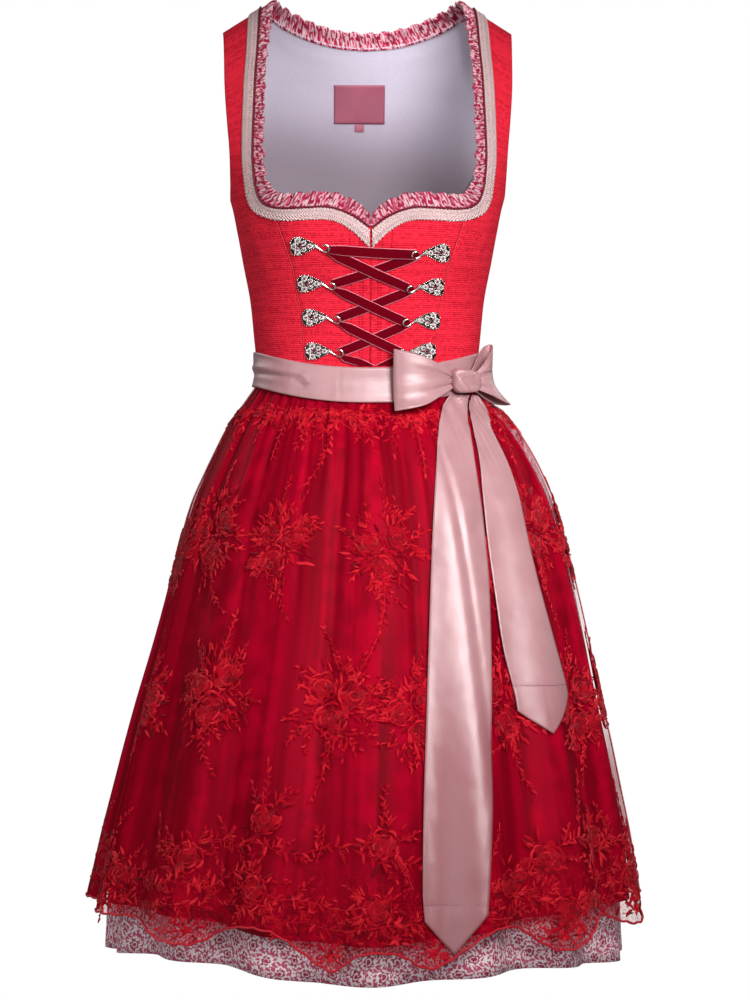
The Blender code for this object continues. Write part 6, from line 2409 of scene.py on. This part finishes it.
@dataclass
class Embroidery:
    """Raised roses, leaves and sprays in satin stitch on the apron's net.

    The tables place each motif by degrees round the skirt and drop, then give its size and turn.
    """

    apron: Apron
    wardrobe: Wardrobe
    seed: int = 11
    height: float = 1.0
    # Leaves longer than this have a vein
    veined: float = 8.0
    above_net: float = 0.15
    stem_half: float = 0.38
    vine_half: float = 0.45
    # Sprays under the waist: degrees, drop, length, turn
    sprays: Table = (
        (-84, 404, 40, 8), (-66, 402, 46, -12), (-47, 402, 34, 16), (-38, 403, 50, 8), (-30, 404, 40, -20),
        (-20, 405, 46, 12), (-15.5, 405, 76, 2), (-8, 406, 46, -30), (-2, 407, 32, 14), (11, 408, 44, 16),
        (16, 408, 62, -4), (22, 407, 38, -28), (33, 404, 44, 14), (47, 403, 36, -12), (60, 402, 54, -10),
        (80, 402, 42, 12)
    )
    # Large posies: degrees, drop, size, turn, length of the hanging spray
    posies: Table = (
        (-84, 548, 38, 20, 0), (-58.5, 528, 40, -14, 62), (-31, 541, 38, 10, 48), (1.5, 545, 40, -6, 88),
        (28, 560, 38, 24, 60), (54.3, 522, 38, 8, 76), (82, 540, 38, -16, 0), (-74, 700, 40, 12, 50),
        (-44, 683, 44, -8, 56), (-10.5, 693, 44, 6, 66), (9, 704, 42, -18, 0), (33, 694, 44, 14, 62),
        (60, 702, 42, -12, 50), (86, 690, 40, 10, 0)
    )
    # Roses of the border: degrees, drop, radius
    roses: Table = (
        (-86, 846, 14), (-66, 868, 15), (-43, 846, 17), (-24.5, 806, 17), (-25.5, 872, 15), (1.3, 827, 17),
        (0.5, 889, 16), (17, 862, 15), (29, 868, 15), (40, 846, 17), (43.5, 898, 14), (59, 834, 15),
        (70, 876, 15), (86, 850, 14)
    )
    # Twigs of the border: degrees, drop of the foot, length, turn
    twigs: Table = (
        (-24.5, 788, 36, 0), (1.3, 808, 34, -6), (-33, 838, 34, -24), (-13, 846, 32, 26), (-52, 850, 42, -8),
        (-72, 842, 40, 14), (12, 852, 34, -12), (24, 846, 34, 18), (49, 818, 52, 10), (66, 838, 40, -18),
        (80, 830, 44, 16), (-92, 840, 42, -10), (-60, 874, 26, 30), (-37, 884, 24, -28), (-17, 884, 26, 20),
        (8, 872, 24, -34), (35, 888, 24, 30), (53, 872, 28, -24)
    )
    # Stems that link the border's flowers: degrees and drop of start and end, bend
    vines: Table = (
        (-94, 878, -66, 856, 10), (-66, 882, -43, 862, -10), (-43, 868, -25, 860, 12),
        (-43, 838, -25, 822, -10), (-25, 890, 0, 880, -12), (-25, 826, 0, 842, 12), (0, 845, 20, 858, -10),
        (0, 902, 22, 886, 10), (20, 870, 42, 858, 12), (29, 882, 48, 892, -10), (42, 838, 60, 824, -10),
        (46, 884, 70, 866, 12), (60, 848, 86, 838, -12), (70, 888, 95, 872, 10), (-90, 892, -60, 890, -8),
        (-60, 892, -36, 896, 9), (-34, 890, -12, 900, -8), (-14, 904, 12, 908, 7), (10, 904, 34, 892, -8),
        (50, 892, 78, 888, 8)
    )

    def __post_init__(self) -> None:
        """Start an even run of chance."""
        self.chance = random.Random(self.seed)
        self.relief = Relief()
        self.origin = (0.0, 0.0, 1.0)

    def about(self, spread: float) -> float:
        """Pick a number between minus and plus a spread."""
        return self.chance.uniform(-spread, spread)

    def tone(self, low: float = 0.1, high: float = 1.0) -> float:
        """Pick a tone."""
        return low + (high - low) * self.chance.random() ** 1.2

    def build(self) -> None:
        """Stitch the sprays, the posies and the border."""
        for degrees, drop, length, turn in self.sprays:
            self.move_to(degrees, drop)
            self.spray(0, 0, 90 + turn, length, int(length / 3.6))
            for lean, share in ((34, 0.55), (-38, 0.5), (70, 0.4), (-66, 0.4)):
                self.spray(lean / -8, 1, 90 + turn + lean, length * share, int(length * share / 3))
            for _ in range(5):
                self.leaf_from(
                    0, 2, self.chance.uniform(20, 160), self.chance.uniform(3, 16), self.chance.uniform(6, 12)
                )
            self.blossom(self.about(6), self.chance.uniform(4, 9), 5.5)
        self.finish("embroidery_waist")
        for name, part in (("upper", self.posies[:7]), ("lower", self.posies[7:])):
            for degrees, drop, size, turn, hanging in part:
                self.move_to(degrees, drop)
                self.posy(size, turn, hanging)
            self.finish(f"embroidery_posies_{name}")
        for degrees, drop, radius in self.roses:
            self.move_to(degrees, drop)
            self.rose(0, 0, radius)
            for _ in range(11):
                self.leaf_from(
                    0, 0, self.chance.uniform(0, 360), radius * self.chance.uniform(0.9, 1.3),
                    self.chance.uniform(8, 15)
                )
            for _ in range(4):
                away = math.radians(self.chance.uniform(0, 360))
                self.spray(
                    radius * math.cos(away), radius * math.sin(away), math.degrees(away) + self.about(25),
                    self.chance.uniform(14, 24), 6
                )
        for degrees, drop, length, turn in self.twigs:
            self.move_to(degrees, drop)
            self.spray(0, 0, -90 + turn, length, int(length / 3.4))
        self.finish("embroidery_border")
        for row in self.vines:
            self.vine(*row)
        self.scallop_flowers()
        self.finish("embroidery_vines")

    def finish(self, name: str) -> None:
        """Lay what has been stitched on the net as one piece."""
        settle(self.relief.build(name, self.on_net, [self.wardrobe.embroidery]), "apron_net")
        self.relief = Relief()

    def on_net(self, flat: Array) -> Array:
        """Place angle, drop and height on the net."""
        block = self.apron.block
        share = block.share_at(flat[:, 0], flat[:, 1])
        return block.on(flat[:, 0], share, along(self.apron.off, share, 2) + self.above_net + flat[:, 2])

    def move_to(self, degrees: float, drop: float) -> None:
        """Set the place round which flat millimetres are counted."""
        block = self.apron.block
        angle = np.radians(np.array([degrees]))
        share = block.share_at(angle, np.array([drop]))
        step = 0.01
        run = block.base(angle + step, share) - block.base(angle - step, share)
        speed = float(np.linalg.norm(run) / (2 * step) + along(self.apron.off, share, 2)[0])
        self.origin = (float(angle[0]), drop, speed)

    def band(
        self, path: Array, halves: Array, height: float, tone: float, vein: float = 1.0, lines: int = 3
    ) -> None:
        """Stitch one raised band along a path in flat millimetres.

        Args:
            path: Points of its middle line.
            halves: Half its width at each point.
            height: Height of its ridge.
            tone: Tone of its thread, from 0 to 1.
            vein: Height of its middle as a share of the ridge, below 1 for a vein.
            lines: Points across it where it has no vein.
        """
        run = unit(np.gradient(path, axis=0))
        across = np.stack([-run[:, 1], run[:, 0]], axis=-1)
        if vein < 1:
            places, rise = np.array([-1.0, -0.5, 0.0, 0.5, 1.0]), np.array([-0.25, 0.85, vein, 0.85, -0.25])
        else:
            places, rise = np.linspace(-1, 1, lines), np.array([-0.25, *[vein] * (lines - 2), -0.25])
        taper = np.minimum(1.0, 0.3 + halves / max(float(halves.max()), 0.01))
        flat = path[:, None, :] + across[:, None, :] * (places[None, :] * halves[:, None])[..., None]
        high = height * rise[None, :] * taper[:, None]
        angle, drop, speed = self.origin
        points = np.stack([angle + flat[..., 0] / speed, drop + flat[..., 1], high], axis=-1)
        length = run_length(path)
        uv = np.stack(
            [np.broadcast_to(length[:, None], high.shape), places[None, :] * halves[:, None]], axis=-1
        )
        self.relief.add(points, tone, uv=uv)

    def curve(self, x: float, y: float, turn: float, bend: float, length: float, count: int) -> Array:
        """Points of a bent line that starts at a place in a direction."""
        part = steps(count)
        heading = math.radians(turn) + bend * part
        step = length / (count - 1)
        run = np.stack([np.cos(heading), np.sin(heading)], axis=-1) * step
        return np.array([x, y]) + np.cumsum(run, axis=0) - run[:1]

    def leaf(self, x: float, y: float, turn: float, length: float, width: float, tone: float) -> None:
        """Stitch a pointed leaf from its foot, with a sunken vein if it is long."""
        path = self.curve(x, y, turn, self.about(0.6), length, 5)
        part = np.linspace(0.03, 0.97, 5)
        halves = width / 2 * np.sin(math.pi * part**0.8) ** 0.8 + 0.12
        self.band(path, halves, self.height, tone, 0.5 if length > self.veined else 1.0)

    def leaf_from(self, x: float, y: float, turn: float, away: float, length: float) -> None:
        """Stitch a leaf that starts at a distance from a centre and points outwards."""
        heading = math.radians(turn)
        spot = x + away * math.cos(heading), y + away * math.sin(heading)
        self.leaf(
            *spot, turn + self.about(38), length, length * self.chance.uniform(0.2, 0.32), self.tone(0.0, 1.0)
        )

    def rose(self, x: float, y: float, radius: float) -> None:
        """Stitch a rose: a dark ground that is painted shade between the petals, three uneven rings of bent
        petal edges and loose leaves.
        """
        start = self.chance.uniform(0, 360)
        # A dark ground of low-tone leaves: painted shade between the petals
        for index in range(8):
            turn = start + index * 45 + self.about(10)
            self.leaf(
                x, y, turn, radius * self.chance.uniform(0.75, 1.0), radius * 0.55, self.tone(0.1, 0.35)
            )
        for count, reach, span in ((4, 0.2, 0.42), (7, 0.48, 0.55), (11, 0.82, 0.5)):
            for index in range(count):
                turn = start + 360 * (index + self.about(0.22)) / count
                away = radius * (reach + self.about(0.07))
                heading = math.radians(turn)
                length = radius * span * self.chance.uniform(0.8, 1.25)
                bend = self.chance.uniform(0.8, 2.0)
                spot = x + away * math.cos(heading), y + away * math.sin(heading)
                first = turn + 90 - math.degrees(bend) * 0.5 + self.about(24)
                middle = math.radians(first + math.degrees(bend) * 0.5)
                foot = spot[0] - length / 2 * math.cos(middle), spot[1] - length / 2 * math.sin(middle)
                path = self.curve(*foot, first, bend, length, 6)
                part = np.linspace(-1, 1, 6)
                halves = radius * self.chance.uniform(0.05, 0.1) * (1 - 0.7 * part**2) + 0.12
                self.band(path, halves, self.height * 1.1, self.tone(0.12, 1.0), lines=4)
        for index in range(9):
            turn = start + index * 40 + self.about(14)
            self.leaf_from(x, y, turn, radius * self.chance.uniform(0.3, 0.9), radius * 0.3)

    def blossom(self, x: float, y: float, radius: float) -> None:
        """Stitch a small flower of five petals."""
        start = self.chance.uniform(0, 72)
        for index in range(5):
            self.leaf(x, y, start + 72 * index + self.about(9), radius, radius * 0.5, self.tone(0.3, 1.0))

    def spray(self, x: float, y: float, turn: float, length: float, leaves: int) -> None:
        """Stitch a thin stem with slender leaves on both sides and one at its end."""
        bend = self.about(0.8)
        path = self.curve(x, y, turn, bend, length, 10)
        part = steps(10)
        self.band(path, np.full(10, self.stem_half), 0.5, self.tone(0.2, 0.9))
        for index in range(leaves):
            place = 0.08 + 0.9 * (index + self.about(0.3)) / max(leaves - 1, 1)
            side = 1 if index % 2 else -1
            spot = [float(np.interp(place, part, path[:, k])) for k in (0, 1)]
            lean = turn + math.degrees(bend) * place + side * self.chance.uniform(24, 56)
            size = self.chance.uniform(4, 8.5) * (1.15 - 0.5 * place)
            self.leaf(*spot, lean, size, size * self.chance.uniform(0.22, 0.4), self.tone(0.15, 1.0))
        self.leaf(*path[-1], turn + math.degrees(bend), 6, 2.0, self.tone(0.4, 1.0))

    def posy(self, size: float, turn: float, hanging: float) -> None:
        """Stitch three roses among leaves and sprays, with a long spray hanging from them.

        Args:
            size: Half the posy's height in millimetres.
            turn: How far it is turned, in degrees.
            hanging: Length of the long spray, or 0 for none.
        """
        for _ in range(19):
            away = math.radians(self.chance.uniform(0, 360))
            reach = size * self.chance.uniform(0.5, 0.85)
            spot = reach * math.cos(away) * 0.85, reach * math.sin(away)
            self.spray(
                *spot, math.degrees(away) + self.about(30), self.chance.uniform(12, 26),
                self.chance.randint(5, 8)
            )
        for _ in range(80):
            reach = size * self.chance.uniform(0.1, 0.9) ** 0.7
            self.leaf_from(0, 0, self.chance.uniform(0, 360), reach, self.chance.uniform(6, 13))
        for index, scale in enumerate((0.42, 0.36, 0.4)):
            heading = math.radians(turn + 90 + 120 * index + self.about(14))
            reach = size * self.chance.uniform(0.38, 0.5)
            self.rose(reach * math.cos(heading), reach * math.sin(heading), size * scale)
        for _ in range(4):
            heading = math.radians(self.chance.uniform(0, 360))
            self.blossom(size * 0.62 * math.cos(heading), size * 0.62 * math.sin(heading), size * 0.14)
        self.spray(0, -size * 0.7, -90 + self.about(22), size * 1.0, 12)
        if hanging:
            for lean, share in ((0, 1.0), (26, 0.5), (-24, 0.4)):
                self.spray(
                    self.about(5), size * 0.65, 90 + lean + self.about(9), hanging * share,
                    int(hanging * share / 3.4)
                )

    def vine(self, first: float, high: float, last: float, low: float, bend: float) -> None:
        """Stitch a winding stem with leaves between two places of the border.

        Args:
            first: Degrees of its start.
            high: Drop of its start.
            last: Degrees of its end.
            low: Drop of its end.
            bend: How far it swings aside, in millimetres.
        """
        self.move_to((first + last) / 2, (high + low) / 2)
        _, drop, speed = self.origin
        reach = math.radians(last - first) * speed / 2
        part = steps(18)
        x = mix(-reach, reach, part)
        y = mix(high, low, part) - drop + bend * np.sin(math.pi * part * 2) * 0.6
        path = np.stack([x, y], axis=-1)
        self.band(path, np.full(18, self.vine_half), 0.6, self.tone(0.3, 0.9))
        heading = np.degrees(np.arctan2(np.gradient(y), np.gradient(x)))
        for index in range(26):
            place = 0.03 + 0.94 * (index + self.about(0.4)) / 25
            side = 1 if index % 2 else -1
            spot = [float(np.interp(place, part, path[:, k])) for k in (0, 1)]
            lean = float(np.interp(place, part, heading)) + side * self.chance.uniform(22, 80)
            if index % 5 == 2:
                self.spray(*spot, lean, self.chance.uniform(12, 20), 7)
            else:
                size = self.chance.uniform(6, 12)
                self.leaf(*spot, lean, size, size * self.chance.uniform(0.2, 0.34), self.tone(0.0, 1.0))

    def scallop_flowers(self) -> None:
        """Stitch small flowers in each scallop of the hem and a close row of leaves above its cord."""
        for degrees in (-70, -41, -9, 4, 12, 42, 70):
            drop = float(along(self.apron.net_hem, degrees, 1)) - 14
            self.move_to(degrees, drop)
            self.blossom(0, 0, 7)
            for turn in (180, 0, 212, -32, 150, 30, 250, -70, 270):
                self.leaf_from(0, 0, turn, 7, self.chance.uniform(7, 12))
        for degrees in np.arange(-96, 97, 1.5):
            drop = float(along(self.apron.net_hem, degrees, 1))
            self.move_to(float(degrees), drop - self.chance.uniform(11, 26))
            self.leaf(
                0, 0, self.chance.uniform(0, 360), self.chance.uniform(6, 11), 2.3, self.tone(0.0, 0.95)
            )


@dataclass
class Studio:
    """Pale floor, soft lights, white surround and the camera.

    Sizes are in metres. The camera looks level, turned a little to the wearer's right.
    """

    distance: float = 3.3
    azimuth: float = -2
    height: float = -0.4965
    aside: float = 0.00824
    view_height: float = 1.03
    sensor: float = 24
    floor_level: float = -1.35
    floor_radius: float = 1.9
    fill: float = 0.15
    # Soft boxes: name, place, target, size, power and spread
    lamps: tuple[tuple[str, tuple[float, ...], tuple[float, ...], float, float, float], ...] = (
        ("key", (0.45, -1.3, 0.0), (0.03, 0.0, -0.5), 0.6, 4.2, 70),
        ("fill_left", (-1.4, -1.9, -0.1), (0.0, 0.0, -0.35), 1.2, 12, 180),
        ("hollow", (0.03, -0.5, 0.36), (0.022, 0.09, 0.0), 0.08, 0.085, 22),
        ("rim_right", (-1.9, 1.5, 0.6), (0.0, 0.0, -0.4), 1.0, 9, 180),
        ("rim_left", (1.9, 1.6, 0.6), (0.0, 0.0, -0.4), 1.0, 9, 180)
    )

    def build(self) -> None:
        """Set up the whole studio."""
        self.camera()
        self.floor()
        self.world()
        for row in self.lamps:
            self.lamp(*row)
        bpy.context.scene.view_settings.view_transform = "Standard"

    def camera(self) -> None:
        """Place the camera."""
        data = bpy.data.cameras.new("camera")
        data.sensor_fit = "VERTICAL"
        data.sensor_height = self.sensor
        data.lens = self.sensor * self.distance / self.view_height
        turn = math.radians(self.azimuth)
        forward = (-math.sin(turn), math.cos(turn))
        right = (math.cos(turn), math.sin(turn))
        item = bpy.data.objects.new("camera", data)
        item.location = (
            -self.distance * forward[0] + self.aside * right[0],
            -self.distance * forward[1] + self.aside * right[1], self.height
        )
        item.rotation_euler = (math.radians(90), 0, turn)
        bpy.context.scene.collection.objects.link(item)
        bpy.context.scene.camera = item

    def floor(self) -> None:
        """Lay a round pale floor well below the hem."""
        shape = bmesh.new()
        bmesh.ops.create_circle(shape, cap_ends=True, segments=96, radius=self.floor_radius)
        mesh = bpy.data.meshes.new("floor")
        shape.to_mesh(mesh)
        shape.free()
        item = bpy.data.objects.new("floor", mesh)
        item.location.z = self.floor_level
        bpy.context.scene.collection.objects.link(item)
        material = bpy.data.materials.new("floor_paper")
        material.use_nodes = True
        shader = material.node_tree.nodes["Principled BSDF"]
        shader.inputs["Base Color"].default_value = (0.86, 0.86, 0.86, 1)
        shader.inputs["Roughness"].default_value = 0.9
        mesh.materials.append(material)

    def world(self) -> None:
        """White for the camera, softer for everything else."""
        world = bpy.data.worlds.new("studio")
        world.use_nodes = True
        bpy.context.scene.world = world
        bench = Bench(world.node_tree)
        background = world.node_tree.nodes["Background"]
        path = bench.put("ShaderNodeLightPath")
        strength = bench.line(path.outputs["Is Camera Ray"], 1 - self.fill, self.fill)
        background.inputs["Color"].default_value = (1, 1, 1, 1)
        bench.feed(background.inputs["Strength"], strength)

    def lamp(
        self, name: str, place: tuple[float, ...], target: tuple[float, ...], size: float, strength: float,
        spread: float
    ) -> None:
        """Hang one soft box and aim it.

        Args:
            name: Its name.
            place: Where it hangs.
            target: What it points at.
            size: Length of its side.
            strength: Its power in watts.
            spread: Full angle of its beam, in degrees.
        """
        data = bpy.data.lights.new(name, "AREA")
        data.shape = "SQUARE"
        data.size = size
        data.energy = strength
        data.spread = math.radians(spread)
        item = bpy.data.objects.new(name, data)
        item.location = place
        aim = np.array(target) - np.array(place)
        level = math.hypot(aim[0], aim[1])
        item.rotation_euler = (math.atan2(level, -aim[2]), 0, math.atan2(-aim[0], aim[1]))
        bpy.context.scene.collection.objects.link(item)


def main() -> None:
    """Build the dress piece by piece, then the studio."""
    logging.basicConfig(level=logging.INFO, format="%(message)s")
    wardrobe = Wardrobe.filled()
    body = BodiceBlock()
    block = SkirtBlock(body)
    Studio().build()
    bodice = Bodice(body, block, wardrobe)
    bodice.build()
    NeckTrim(bodice, wardrobe).build()
    Lacing(body, block, wardrobe).build()
    Skirt(block, wardrobe).build()
    apron = Apron(block, wardrobe)
    apron.build()
    Sash(block, wardrobe, apron.off).build()
    Embroidery(apron, wardrobe).build()


if __name__ == "__main__":
    main()
